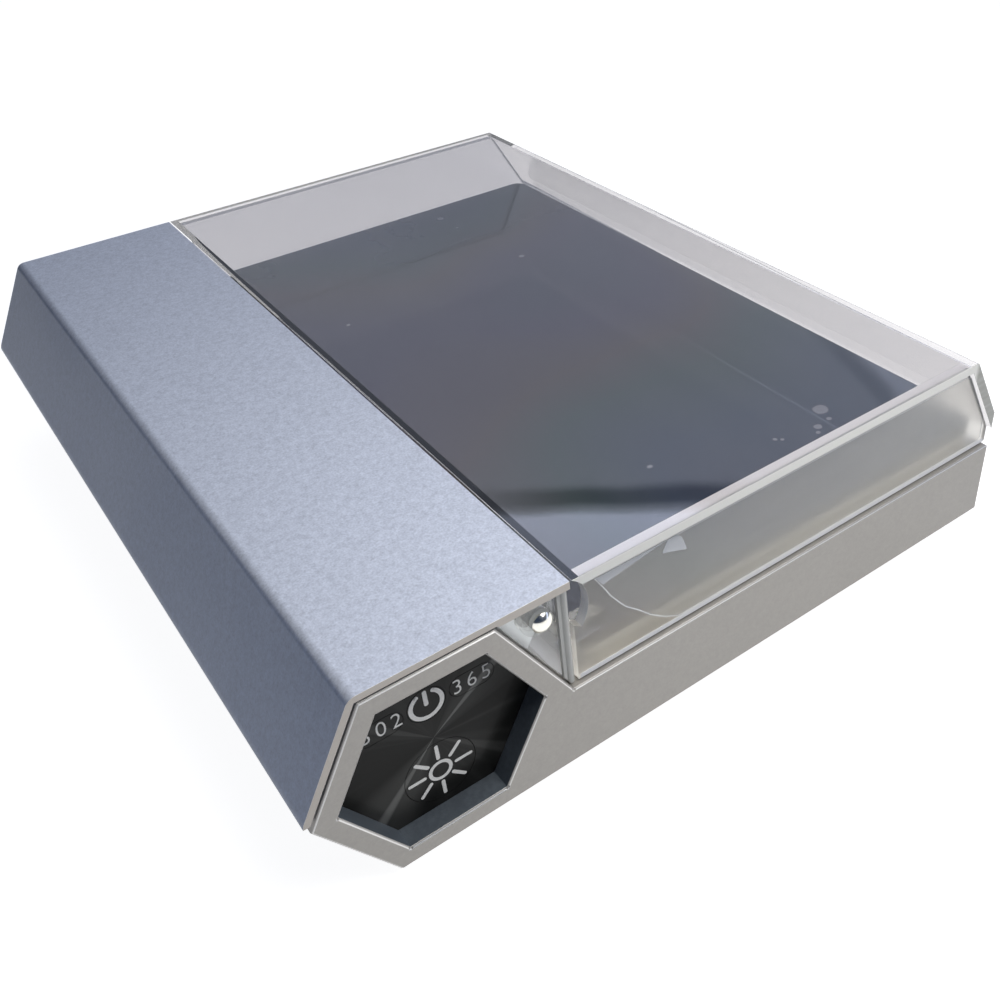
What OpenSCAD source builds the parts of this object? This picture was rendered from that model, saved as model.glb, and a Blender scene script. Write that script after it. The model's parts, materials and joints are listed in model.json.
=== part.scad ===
// Benchtop UV transilluminator: a low slab with a raised filter glass, a hexagonal spine that
// holds the controls, and a clear cover hinged under the spine's overhang.
// X runs from the spine to the cover's free edge, Y from the controls to the rear, Z up.

/* [Overall size] */
// Width from the spine's nose to the cover's free edge
width = 215; // [185:1:280]
// Depth from the control end to the rear end
depth = 250; // [200:1:320]
// Height of the hexagonal end of the spine
hex_flats = 54; // [46:0.5:66]
// Height of the slab's deck above the bottom plate
deck_h = 24; // [20:0.5:30]
// Height of the rubber feet below the bottom plate
foot_h = 2; // [1:0.5:6]

/* [End frames] */
// Thickness of each end frame
frame_t = 6; // [4:0.5:9]
// Width of the frame's ring around the hexagonal window
ring_w = 5.25; // [4:0.25:8]
// Distance from the spine cover's nose to the frame's left corner
nose_in = 1.2; // [0.6:0.1:2.5]
// Chamfer on the outer edges and the window
edge_chamfer = 0.5; // [0.2:0.1:1]
// Corner radius at the slab's free end
slab_corner_r = 1.4; // [0.6:0.2:3]
// Distance that the pan and deck stay behind the frame's outline
skin_inset = 0.3; // [0.1:0.1:1]

/* [Sheet metal] */
// Thickness of the spine cover
spine_t = 2.2; // [1.2:0.1:3]
// Gap between the spine cover and the end frames
spine_gap = 0.35; // [0.2:0.05:0.8]
// Depth of the rebate in the spine cover over each end frame
end_rebate = 0.5; // [0.1:0.1:0.8]
// Outer radius of the spine cover's nose
nose_r = 5; // [3.5:0.5:8]
// Outer radius of the spine cover's top bend
top_bend_r = 3; // [2.5:0.25:5]
// Length that the spine cover reaches past the foot of the slope
overhang = 1.28; // [0.5:0.01:4]
// Thickness of the pan and the deck
pan_t = 2; // [1:0.1:2.5]

/* [Clear cover] */
// Thickness of the cover's sheet and cheeks
cover_t = 2.8; // [2:0.1:4]
// Gap under the cover's slanted edge, for fingertips
lip_gap = 5.47; // [3:0.01:8]
// Outer radius of the cover's bend
cover_bend_r = 1.5; // [1:0.1:3]
// Corner radius of the cheeks under the bend
cheek_r = 3; // [1.5:0.5:5]
// Distance that the cheeks stay behind the sheet's ends
cheek_in = 1.6; // [1:0.1:3]
// Gap between the cover and what it rests near
cover_gap = 0.4; // [0.3:0.05:0.8]

/* [Hinge] */
// Level distance from the overhang's edge to the hinge axis
axis_in = 6.4; // [5.8:0.1:7]
// Distance from the spine's top down to the hinge axis
axis_down = 9.6; // [9:0.1:10.4]
// Radius of the hinge pin
pin_r = 1.5; // [1:0.1:2]
// Running clearance around the pin
pin_fit = 0.05; // [0.02:0.01:0.1]
// Radius of the pin's domed head
pin_head_r = 2.7; // [2:0.1:3.5]
// Height of the pin's domed head
pin_head_h = 1.3; // [0.8:0.1:1.5]
// Radius of the arm's eye around the pin
eye_r = 4.6; // [4:0.1:5.2]
// Widest opening of the cover in degrees
open_deg = 68; // [40:1:68]
// Thickness of the hinge arms
arm_t = 3; // [2:0.2:4]
// Width of the hinge arms
arm_w = 5.2; // [4:0.2:6]
// Length of the arm's foot on the cheek
arm_foot = 10; // [8:1:24]
// Gap between the arm's foot and the glass
arm_gap = 2.2; // [0.8:0.05:3]
// Thickness of the friction washers
washer_t = 0.4; // [0.2:0.1:1]
// Length of each hinge block along the axis
block_l = 12; // [8:1:20]

/* [Platform] */
// Height of the glass above the deck
glass_rise = 8.4; // [6:0.2:10]
// Thickness of the filter glass
glass_t = 3; // [2:0.2:4]
// Corner radius of the glass
glass_corner_r = 4.5; // [2:0.5:8]
// Gap between the glass and the cheeks
glass_gap = 1; // [0.6:0.1:3]
// Gap between the glass and the cover's slanted edge
glass_edge_gap = 1.91; // [0.6:0.01:4]
// Distance from the spine's foot to the glass
gutter = 6; // [5:0.5:12]
// Width of the rim that carries the glass
rim_w = 4; // [3:0.5:8]
// Thickness of the gasket under the glass
gasket_t = 0.4; // [0.2:0.1:1]

/* [Controls] */
// Thickness of the control panel
panel_t = 2; // [1.5:0.1:3]
// Margin of the panel behind the frame's ring
panel_margin = 2.4; // [1.5:0.1:3.5]
// Travel of each key
key_travel = 0.4; // [0.2:0.05:0.8]
// Gap around each key
key_gap = 0.12; // [0.1:0.01:0.3]
// Radius of the power key
power_r = 4.5; // [3:0.25:4.75]
// Radius of the brightness key
bright_r = 8.8; // [5:0.2:9.6]
// Half width of the two wavelength keys
wave_half = 5.5; // [3.5:0.1:6]
// Radius of the wavelength keys' ends
wave_r = 2.8; // [2:0.1:3]
// Level distance between the flanges of the power key and a wavelength key
key_row_gap = 0.3; // [0.2:0.05:1]
// Width of the flange that holds each key behind the panel
key_flange_w = 0.4; // [0.3:0.05:1]
// Height of the upper keys above the window's centre
upper_key_z = 10.6; // [9:0.2:12]
// Depth of the brightness key below the window's centre
lower_key_z = 10.9; // [8:0.2:12]

/* [DC inlet] */
// Radius of the inlet's bore
jack_bore_r = 2.8; // [2.5:0.05:3.5]
// Depth of the inlet's bore
jack_depth = 9.5; // [8:0.5:12]
// Radius of the inlet's centre contact
jack_pin_r = 1.05; // [0.6:0.05:1.3]
// Half width of the inlet's housing
jack_half = 5.5; // [4.5:0.25:7]

/* [Electronics] */
// Thickness of the circuit boards
board_t = 1.6; // [1:0.2:2.4]
// Distance between neighbouring LEDs
led_pitch = 19; // [14:1:30]
// Side of each LED package
led_side = 3.5; // [2.8:0.1:5]

/* [Hidden] */
$fn = 64;
SLOPE = tan(60);

// The hexagonal end of the spine
hex_r = hex_flats / sqrt(3);
hex_x = nose_in + hex_r;
hex_z = hex_flats / 2;
window_flats = hex_flats - 2 * ring_w;
slope_top_x = hex_x + hex_r / 2;
slope_foot_x = slope_top_x + (hex_flats - deck_h) / SLOPE;

// The spine cover
top_z = hex_flats + spine_gap + spine_t;
overhang_x = slope_foot_x + overhang;
underside_z = hex_flats + spine_gap;

// The hinge axis and the clearance circle that the overhang's edge asks for
axis_x = overhang_x - axis_in;
axis_z = top_z - axis_down;
swing_r = norm([axis_in, axis_down]) + 0.2;
// Lowest angle at which the cover may pass inside that circle
notch_deg = -open_deg / 2 - 1.5;

// The cover
sheet_left = overhang_x - axis_in + sqrt(swing_r * swing_r - axis_down * axis_down);
lip_z = deck_h + lip_gap;
cover_nose_z = lip_z + cover_t * 2;
bevel_w = (top_z - cover_nose_z) / SLOPE;
bend_x = width - bevel_w;
cheek_out = cheek_in + cover_t;
strut_r = cover_t / 2;
strut_x = overhang_x + 0.7 - strut_r;
cheek_left = strut_x + strut_r + cover_gap;
arm_y0 = cheek_out;
arm_y1 = arm_y0 + arm_t;
side_plate_t = cover_t - cover_gap;
block_y = arm_y1 + washer_t;

// The platform
glass_x0 = slope_foot_x + gutter;
glass_y0 = cheek_out + glass_gap;
glass_z = deck_h + glass_rise;
glass_x1 = width - (glass_z - lip_z) / SLOPE - glass_edge_gap;
rim_top = glass_z - glass_t - gasket_t;
rim_out = 0.2;
well_x0 = glass_x0 + rim_w;
well_x1 = glass_x1 - rim_w;
well_y0 = glass_y0 + rim_w;

// Lugs on the end frames take the screws through the pan
floor_z = skin_inset + pan_t;
LUG_X = [slope_foot_x - 7, width - 90, width - 14];
lug_w = 9;
lug_l = 10;
lug_h = 8;
screw_r = 1.5;
screw_head_r = 2.9;

// The stack under the glass
spreader_t = 3;
led_board_z = floor_z + spreader_t;
led_z = led_board_z + board_t;
led_t = 1.2;
tray_t = 1;
diffuser_t = 2;
box_x0 = well_x0 + 1.5;
box_x1 = well_x1 - 1.5;
box_y0 = frame_t + lug_l + 1;

// The control stack, counted from the front
panel_y = frame_t;
panel_back = panel_y + panel_t;
key_flange = 1;
key_back = panel_back + key_flange;
switch_tip = key_back + key_travel + 0.05;
switch_h = 1.6;
control_y = switch_tip + switch_h;
control_flats = window_flats - 6;
wave_pitch = power_r + wave_half + 2 * key_flange_w + key_row_gap;
KEYS = [[0, upper_key_z], [-wave_pitch, upper_key_z], [wave_pitch, upper_key_z], [0, -lower_key_z]];

// The driver board in the spine
driver_z = 11;
driver_w = 34;
driver_l = depth * 0.5;
driver_y = depth * 0.3;
driver_x = hex_x - driver_w / 2 + 3;

// ---------- placing ----------

// The origin lies at the centre of the footprint, at the feet's lower faces
module placed() { translate([-width / 2, -depth / 2, foot_h]) children(); }

// Extrudes an XZ outline along Y between two stations
module along(y0, y1) { translate([0, y1, 0]) rotate([90, 0, 0]) linear_extrude(y1 - y0) children(); }

// The same piece at the rear end, with its own orientation mirrored
module at_rear() { translate([0, depth, 0]) mirror([0, 1, 0]) children(); }

// ---------- outline helpers ----------

function unit(v) = v / norm(v);
function turned(v) = [-v[1], v[0]];
function cross2(a, b) = a[0] * b[1] - a[1] * b[0];
// Corner k of a hexagon with a flat top, counted from the right
function hex_point(k, flats) = flats / sqrt(3) * [cos(60 * k), sin(60 * k)];
// The point where two lines meet, each given by a point and a direction
function meet(p, d, q, e) = p + d * (cross2(q - p, e) / cross2(d, e));
// Corner i of a closed convex outline moved inwards by t, with its points in clockwise order
function inner_corner(pts, i, t) =
    let (n = len(pts), a = pts[(i + n - 1) % n], b = pts[i], c = pts[(i + 1) % n],
        u = unit(b - a), v = unit(c - b))
    meet(b - t * turned(u), u, b - t * turned(v), v);
function inner_outline(pts, t) = [for (i = [0:len(pts) - 1]) inner_corner(pts, i, t)];
// Distance from a corner to where its fillet starts
function fillet_cut(a, b, c, r) =
    let (u = unit(a - b), v = unit(c - b), half = acos(u * v) / 2) r / tan(half);

// The points of a corner: one sharp point, or an arc of the given radius
arc_steps = 10;
function corner_points(a, b, c, r) =
    r == 0 ? [b] :
    let (u = unit(a - b), v = unit(c - b), half = acos(u * v) / 2,
        centre = b + unit(u + v) * r / sin(half), start = b + u * fillet_cut(a, b, c, r) - centre,
        way = sign(cross2(c - b, a - b)), turn = way * (180 - 2 * half))
    [for (k = [0:arc_steps]) let (t = turn * k / arc_steps)
        centre + [start[0] * cos(t) - start[1] * sin(t), start[0] * sin(t) + start[1] * cos(t)]];

// A closed outline with its own radius at each corner
module rounded_outline(pts, radii) {
    n = len(pts);
    polygon([for (i = [0:n - 1]) each corner_points(pts[(i + n - 1) % n], pts[i], pts[(i + 1) % n], radii[i])]);
}

// A rectangle with four equal corner radii
module rounded_plate(x0, x1, y0, y1, r) {
    rounded_outline([[x0, y0], [x0, y1], [x1, y1], [x1, y0]], [r, r, r, r]);
}

module hexagon(flats) { translate([hex_x, hex_z]) polygon([for (k = [0:5]) hex_point(k, flats)]); }

// Outline of an end frame: the hexagon, its slope down to the deck, and the slab's bar
function frame_points() = let (h = [hex_x, hex_z]) [
    h + hex_point(4, hex_flats), h + hex_point(3, hex_flats), h + hex_point(2, hex_flats),
    h + hex_point(1, hex_flats), [slope_foot_x, deck_h], [width, deck_h], [width, 0]];

// Removes a chamfer along one edge of the front face
module edge_cut(a, b, leg) {
    along_edge = b - a;
    length = norm(along_edge) + 2 * leg;
    translate([(a[0] + b[0]) / 2, 0, (a[1] + b[1]) / 2])
        rotate([0, -atan2(along_edge[1], along_edge[0]), 0])
            rotate([45, 0, 0]) cube([length, leg * sqrt(2), leg * sqrt(2)], center = true);
}
module edge_cuts(pts, leg) {
    for (i = [0:len(pts) - 1]) edge_cut(pts[i], pts[(i + 1) % len(pts)], leg);
}

// ---------- end frames ----------

module end_frame() {
    window = [for (k = [0:5]) [hex_x, hex_z] + hex_point(k, window_flats)];
    difference() {
        along(0, frame_t) difference() {
            union() {
                polygon([for (p = frame_points()) [min(p[0], width - slab_corner_r), p[1]]]);
                rounded_outline([[width - 20, 0], [width - 20, deck_h], [width, deck_h], [width, 0]],
                    [0, 0, slab_corner_r, slab_corner_r]);
            }
            hexagon(window_flats);
        }
        edge_cuts(frame_points(), edge_chamfer);
        edge_cuts(window, edge_chamfer);
    }
    for (x = LUG_X) difference() {
        translate([x - lug_w / 2, frame_t, floor_z]) cube([lug_w, lug_l, lug_h]);
        translate([x, frame_t + lug_l / 2, 0]) cylinder(r = screw_r, h = floor_z + 6);
    }
}
module front_frame() { color("#a9a59a") placed() end_frame(); }
module rear_frame() { color("#a9a59a") placed() at_rear() end_frame(); }

module frame_screw() {
    cylinder(r1 = screw_head_r, r2 = screw_r, h = screw_head_r - screw_r);
    cylinder(r = screw_r, h = 6);
}
module frame_screws() {
    color("#777b80") placed() for (x = LUG_X, y = [frame_t + lug_l / 2, depth - frame_t - lug_l / 2])
        translate([x, y, skin_inset]) frame_screw();
}

// ---------- sheet metal ----------

// Closed outline whose upper left run is the outside of the spine cover
function spine_points() =
    let (n = [-sin(60), 0.5], d = [0.5, sin(60)], p = [hex_x, hex_z] + hex_point(2, hex_flats),
        on_slope = p + n * (spine_gap + spine_t),
        b = meet(on_slope, d, [0, top_z], [1, 0]), c = meet(on_slope, d, [0, 0], [0, 1]))
    [[0, 0], c, b, [overhang_x, top_z], [overhang_x, 0]];

// The space over an end frame's hexagon, which leaves a shadow line at the cover's end
module rebate() {
    along(-1, frame_t + spine_gap) hexagon(hex_flats + 2 * (spine_gap + end_rebate));
}

module spine_cover() {
    outer = spine_points();
    inner = inner_outline(outer, spine_t);
    // The nose ends where it would meet the frame's left corner
    end_z = hex_z + (spine_t + spine_gap - nose_in) * SLOPE;
    color("#b4bac8") placed() difference() {
        along(0, depth) difference() {
            rounded_outline(outer, [0, nose_r, top_bend_r, 0, 0]);
            rounded_outline([[inner[1][0], -9], inner[1], inner[2], [overhang_x + 9, inner[3][1]],
                [overhang_x + 9, -9]], [0, nose_r - spine_t, top_bend_r - spine_t, 0, 0]);
            translate([-1, -1]) square([overhang_x, end_z + 1]);
        }
        rebate();
        at_rear() rebate();
    }
}

// The region inside the pan's skin, open upwards, at depth t from the frame's outline
pan_lip = 8;
module pan_region(t) {
    h = [hex_x, hex_z];
    f = hex_flats - 2 * t;
    polygon([h + hex_point(4, f), h + hex_point(3, f), h + hex_point(2, f), h + hex_point(1, f) + [6, 0],
        [width - t, h[1] + f / 2], [width - t, t]]);
}

slot_l = 26;
slot_w = 3;
SLOT_X = [for (k = [0:2]) box_x0 + (k + 0.5) * (box_x1 - box_x0) / 3];
module cooling_slot() {
    translate([-slot_l / 2 + slot_w / 2, -slot_w / 2]) square([slot_l - slot_w, slot_w]);
    for (side = [-1, 1]) translate([side * (slot_l - slot_w) / 2, 0]) circle(slot_w / 2);
}

module base_pan() {
    color("#5f646e") placed() difference() {
        along(frame_t, depth - frame_t) intersection() {
            difference() {
                pan_region(skin_inset);
                pan_region(skin_inset + pan_t);
            }
            polygon([[-5, -5], [width + 5, -5], [width + 5, deck_h - pan_t], [hex_x, deck_h - pan_t],
                [hex_x, hex_z + pan_lip], [-5, hex_z + pan_lip]]);
        }
        for (x = SLOT_X, k = [-4:4]) translate([x, depth / 2 + k * 9, 0])
            linear_extrude(floor_z + 1) cooling_slot();
        for (x = LUG_X, y = [frame_t + lug_l / 2, depth - frame_t - lug_l / 2]) translate([x, y, skin_inset]) {
            translate([0, 0, -1]) cylinder(r = screw_r + 0.1, h = pan_t + 2);
            cylinder(r1 = screw_head_r + 0.1, r2 = screw_r + 0.1, h = screw_head_r - screw_r);
            translate([0, 0, -1]) cylinder(r = screw_head_r + 0.1, h = 1);
        }
    }
}

// The spine's right wall and the deck are one bent sheet
flange_w = 9;
module deck_sheet() {
    slope = [0.5, -sin(60)];
    outward = [sin(60), 0.5];
    top = [slope_top_x, hex_flats] - outward * skin_inset;
    foot = meet(top, slope, [0, deck_h], [1, 0]);
    top_in = meet(top - outward * pan_t, slope, [0, hex_flats - pan_t], [1, 0]);
    foot_in = meet(top - outward * pan_t, slope, [0, deck_h - pan_t], [1, 0]);
    top_out = meet(top, slope, [0, hex_flats], [1, 0]);
    color("#b9bcc4") placed() difference() {
        along(frame_t, depth - frame_t) polygon([[top_out[0] - flange_w, hex_flats], top_out, foot,
            [width - skin_inset, deck_h], [width - skin_inset, deck_h - pan_t], foot_in, top_in,
            [top_out[0] - flange_w, hex_flats - pan_t]]);
        translate([well_x0, well_y0, 0]) cube([well_x1 - well_x0, depth - 2 * well_y0, deck_h + 1]);
    }
}

module rubber_feet() {
    color("#1c1c1e") placed() for (x = [24, width - 22], y = [28, depth - 28])
        translate([x, y, -foot_h]) cylinder(r1 = 5.4, r2 = 6.2, h = foot_h + skin_inset);
}

// ---------- platform ----------

module platform_plan(grow) {
    rounded_plate(glass_x0 - grow, glass_x1 + grow, glass_y0 - grow, depth - glass_y0 + grow,
        glass_corner_r + grow);
}
module well_plan(shrink) {
    translate([well_x0 + shrink, well_y0 + shrink])
        square([well_x1 - well_x0 - 2 * shrink, depth - 2 * well_y0 - 2 * shrink]);
}

skirt_t = 1.2;
module platform_rim() {
    color("#c9cac8") placed() {
        translate([0, 0, deck_h]) linear_extrude(rim_top - deck_h) difference() {
            platform_plan(-rim_out);
            well_plan(skirt_t);
        }
        translate([0, 0, deck_h - pan_t - 3]) linear_extrude(pan_t + 3) difference() {
            well_plan(0);
            well_plan(skirt_t);
        }
    }
}
module glass_gasket() {
    color("#101012") placed() translate([0, 0, rim_top]) linear_extrude(gasket_t) difference() {
        platform_plan(-0.6);
        well_plan(-0.5);
    }
}
module filter_glass() {
    color("#2b2f38") placed() translate([0, 0, glass_z - glass_t]) linear_extrude(glass_t) platform_plan(0);
}

tray_top = rim_top - diffuser_t;
module diffuser_plate() {
    color("#e9edf0") placed() translate([0, 0, tray_top]) linear_extrude(diffuser_t) well_plan(skirt_t + 0.3);
}
module box_plan(shrink) {
    translate([box_x0 + shrink, box_y0 + shrink])
        square([box_x1 - box_x0 - 2 * shrink, depth - 2 * box_y0 - 2 * shrink]);
}
module reflector_tray() {
    color("#d8dce0") placed() translate([0, 0, led_z]) linear_extrude(tray_top - led_z) difference() {
        box_plan(0);
        box_plan(tray_t);
    }
}
module heat_spreader() {
    color("#9aa0a6") placed() translate([0, 0, floor_z]) linear_extrude(spreader_t) box_plan(2);
}
module led_board() {
    color("#e8e8e4") placed() translate([0, 0, led_board_z]) linear_extrude(board_t) box_plan(0);
}

// Every second row of the LED field, counted from the given row
module led_rows(first) {
    columns = floor((box_x1 - box_x0 - 12) / led_pitch) + 1;
    rows = floor((depth - 2 * box_y0 - 12) / led_pitch) + 1;
    x0 = (box_x0 + box_x1) / 2 - (columns - 1) * led_pitch / 2;
    y0 = depth / 2 - (rows - 1) * led_pitch / 2;
    for (row = [first:2:rows - 1], column = [0:columns - 1])
        translate([x0 + column * led_pitch, y0 + row * led_pitch, led_z + led_t / 2])
            cube([led_side, led_side, led_t], center = true);
}
module leds_302() { color("#cfd8ff") placed() led_rows(0); }
module leds_365() { color("#9fb0ff") placed() led_rows(1); }

// ---------- electronics in the spine ----------

module driver_board() {
    color("#1f5a3a") placed() {
        translate([driver_x, driver_y, driver_z]) cube([driver_w, driver_l, board_t]);
        for (x = [driver_x + 4, driver_x + driver_w - 4], y = [driver_y + 5, driver_y + driver_l - 5])
            translate([x, y, floor_z]) cylinder(r = 2.5, h = driver_z - floor_z);
    }
}
module driver_parts() {
    z = driver_z + board_t;
    color("#3a3d44") placed() {
        for (k = [0:2]) translate([driver_x + 9, driver_y + 22 + k * 15, z]) cylinder(r = 5, h = 12);
        for (k = [0:1]) translate([driver_x + 19, driver_y + 14 + k * 26, z]) cube([12, 14, 9]);
        translate([driver_x + 18, driver_y + driver_l - 40, z]) {
            cube([13, 24, 3]);
            for (k = [0:4]) translate([0.5 + k * 2.75, 0, 3]) cube([1, 24, 8]);
        }
    }
}
module ribbon_cable() {
    y0 = control_y + board_t;
    run = 12;
    color("#d7d7d0") placed() {
        translate([hex_x - 8, y0, hex_z - 4]) cube([16, run, 0.8]);
        translate([hex_x - 8, y0 + run - 0.8, driver_z + board_t]) cube([16, 0.8, hex_z - 4 - driver_z - board_t + 0.8]);
        translate([hex_x - 8, y0 + run - 0.8, driver_z + board_t]) cube([16, driver_y + 8 - y0 - run + 0.8, 0.8]);
    }
}

// ---------- control panel ----------

module wave_shape(grow) {
    translate([-wave_half + wave_r, -wave_r - grow]) square([2 * (wave_half - wave_r), 2 * (wave_r + grow)]);
    for (side = [-1, 1]) translate([side * (wave_half - wave_r), 0]) circle(wave_r + grow);
}
// Outline of key k, grown by the given amount
module key_shape(k, grow) {
    translate([hex_x, hex_z] + KEYS[k]) {
        if (k == 0) circle(power_r + grow);
        if (k == 1 || k == 2) wave_shape(grow);
        if (k == 3) circle(bright_r + grow);
    }
}
boss_r = 1.8;
BOSSES = [for (side = [-1, 1], z = [-1, 1]) [side * 8.6, z * 2.4 + 0.4]];

module control_panel() {
    color("#141416") placed() {
        along(panel_y, panel_back) difference() {
            hexagon(window_flats + 2 * panel_margin);
            for (k = [0:3]) key_shape(k, key_gap);
        }
        for (b = BOSSES) translate([hex_x + b[0], panel_back, hex_z + b[1]]) rotate([-90, 0, 0])
            cylinder(r = boss_r, h = control_y - panel_back);
    }
}
module panel_key(k) {
    color("#18181a") placed() {
        along(panel_y, panel_back) key_shape(k, 0);
        along(panel_back, key_back) key_shape(k, key_flange_w);
    }
}
module power_key() { panel_key(0); }
module key_302() { panel_key(1); }
module key_365() { panel_key(2); }
module brightness_key() { panel_key(3); }

module control_board() {
    color("#1f5a3a") placed() along(control_y, control_y + board_t) hexagon(control_flats);
}
module key_switches() {
    body_h = switch_h - 0.5;
    color("#b8b8b4") placed() for (k = KEYS) translate([hex_x + k[0], control_y, hex_z + k[1]]) rotate([90, 0, 0]) {
        translate([-2.25, -2.25, 0]) cube([4.5, 4.5, body_h]);
        cylinder(r = 1.2, h = switch_h);
    }
}

// ---------- rear panel and inlet ----------

jack_z = hex_z - 8;
module rear_panel() {
    color("#141416") placed() at_rear() along(panel_y, panel_back) difference() {
        hexagon(window_flats + 2 * panel_margin);
        translate([hex_x - jack_half, jack_z - jack_half]) square(2 * jack_half);
    }
}
module dc_inlet() {
    color("#202022") placed() at_rear() translate([hex_x, panel_y - 1, jack_z]) rotate([-90, 0, 0]) difference() {
        union() {
            translate([-jack_half - 1, -jack_half - 1, 0]) cube([2 * jack_half + 2, 2 * jack_half + 2, 1]);
            translate([-jack_half, -jack_half, 0]) cube([2 * jack_half, 2 * jack_half, jack_depth + 2]);
        }
        translate([0, 0, -1]) cylinder(r = jack_bore_r, h = jack_depth + 1);
    }
}
module inlet_contact() {
    color("#c8c9cc") placed() at_rear() translate([hex_x, panel_y + 0.2, jack_z]) rotate([-90, 0, 0])
        cylinder(r = jack_pin_r, h = jack_depth - 1.2);
}

// ---------- hinge ----------

// The clear plate that closes the end of the hinge channel, with a rounded right edge
module side_plate() {
    outward = [sin(60), 0.5];
    slope = [0.5, -sin(60)];
    on_slope = [slope_top_x, hex_flats] + outward * 0.45;
    top = underside_z - cover_gap;
    a = meet(on_slope, slope, [0, top], [1, 0]);
    low = deck_h + cover_gap;
    b = meet(on_slope, slope, [0, low], [1, 0]);
    difference() {
        union() {
            along(cheek_in + 0.4, cheek_in + side_plate_t)
                polygon([a, [strut_x, top], [strut_x, low], b]);
            translate([strut_x, cheek_in + side_plate_t / 2, low])
                cylinder(r = side_plate_t / 2, h = top - low);
        }
        along(0, frame_t) polygon([a - slope * 9, b + slope * 9, b + slope * 9 - outward * 9, a - slope * 9 - outward * 9]);
        translate([axis_x, 0, axis_z]) rotate([-90, 0, 0]) cylinder(r = pin_r, h = 20);
    }
}
module front_side_plate() { color("#c8cabf") placed() side_plate(); }
module rear_side_plate() { color("#c8cabf") placed() at_rear() side_plate(); }

// A domed head and the shank behind it
module hinge_pin() {
    head_y = cheek_in + 0.4;
    dome_r = (pin_head_r * pin_head_r + pin_head_h * pin_head_h) / (2 * pin_head_h);
    translate([axis_x, head_y, axis_z]) rotate([-90, 0, 0]) {
        intersection() {
            translate([0, 0, dome_r - pin_head_h]) sphere(dome_r);
            translate([0, 0, -pin_head_h - 1]) cylinder(r = pin_head_r, h = pin_head_h + 1);
        }
        cylinder(r = pin_r, h = block_y + block_l - head_y - 1);
    }
}
module front_hinge_pin() { color("#e8e6dc") placed() hinge_pin(); }
module rear_hinge_pin() { color("#e8e6dc") placed() at_rear() hinge_pin(); }

// A block on the spine's slope that holds the pin's inner end
module hinge_block() {
    outward = [sin(60), 0.5];
    slope = [0.5, -sin(60)];
    on_wall = [slope_top_x, hex_flats] - outward * skin_inset;
    foot = meet(on_wall, slope, [axis_x, axis_z], outward);
    difference() {
        union() {
            along(block_y, block_y + block_l) translate([axis_x, axis_z]) circle(eye_r);
            along(block_y, block_y + block_l) polygon([foot - slope * eye_r, foot + slope * eye_r * 1.8,
                [axis_x, axis_z] + slope * eye_r, [axis_x, axis_z] - slope * eye_r]);
        }
        translate([axis_x, 0, axis_z]) rotate([-90, 0, 0]) cylinder(r = pin_r, h = block_y + block_l - 1);
    }
}
module front_hinge_block() { color("#8d9096") placed() hinge_block(); }
module rear_hinge_block() { color("#8d9096") placed() at_rear() hinge_block(); }

module friction_washer() {
    translate([axis_x, arm_y1 + 0.05, axis_z]) rotate([-90, 0, 0]) difference() {
        cylinder(r = eye_r - 0.6, h = washer_t - 0.05);
        translate([0, 0, -1]) cylinder(r = pin_r, h = washer_t + 2);
    }
}
module friction_washers() {
    color("#3f3f42") placed() {
        friction_washer();
        at_rear() friction_washer();
    }
}

// ---------- clear cover ----------

function cover_points() = [[sheet_left - 2, lip_z - 4], [sheet_left - 2, top_z], [bend_x, top_z],
    [width, cover_nose_z], [width, lip_z - 4]];

module cover_sheet() {
    outer = cover_points();
    inner = inner_outline(outer, cover_t);
    down = unit([bevel_w, -bevel_w * SLOPE]);
    color([0.85, 0.88, 0.88, 0.45]) placed() along(0, depth) difference() {
        rounded_outline(outer, [0, 0, cover_bend_r, 0, 0]);
        polygon([[0, 0], [0, inner[2][1]], inner[2], inner[2] + down * 60, [width + 40, 0]]);
        translate([axis_x, axis_z]) circle(swing_r);
        square([axis_x, top_z + 1]);
    }
}

// Where the overhang passes as the cover opens
module swing_notch() {
    far = 2 * swing_r;
    translate([axis_x, axis_z]) intersection() {
        circle(swing_r);
        polygon([[0, 0], far * [cos(notch_deg), sin(notch_deg)], [far, far], [0, far]]);
    }
}

// A cheek fits under the sheet and is notched where the overhang passes
module cheek() {
    outer = cover_points();
    inner = inner_outline(outer, cover_t);
    down = unit([bevel_w, -bevel_w * SLOPE]);
    corner = inner[2];
    right = width - 0.1;
    edge = meet(corner, down, [right, 0], [0, 1]);
    low = deck_h + cover_gap;
    along(cheek_in, cheek_out) difference() {
        rounded_outline([[cheek_left, low], [cheek_left, corner[1]], corner, edge, [right, low]],
            [0, 0, cheek_r, 0, 0.6]);
        swing_notch();
    }
}
module front_cheek() { color([0.8, 0.8, 0.76, 0.6]) placed() cheek(); }
module rear_cheek() { color([0.8, 0.8, 0.76, 0.6]) placed() at_rear() cheek(); }

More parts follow.
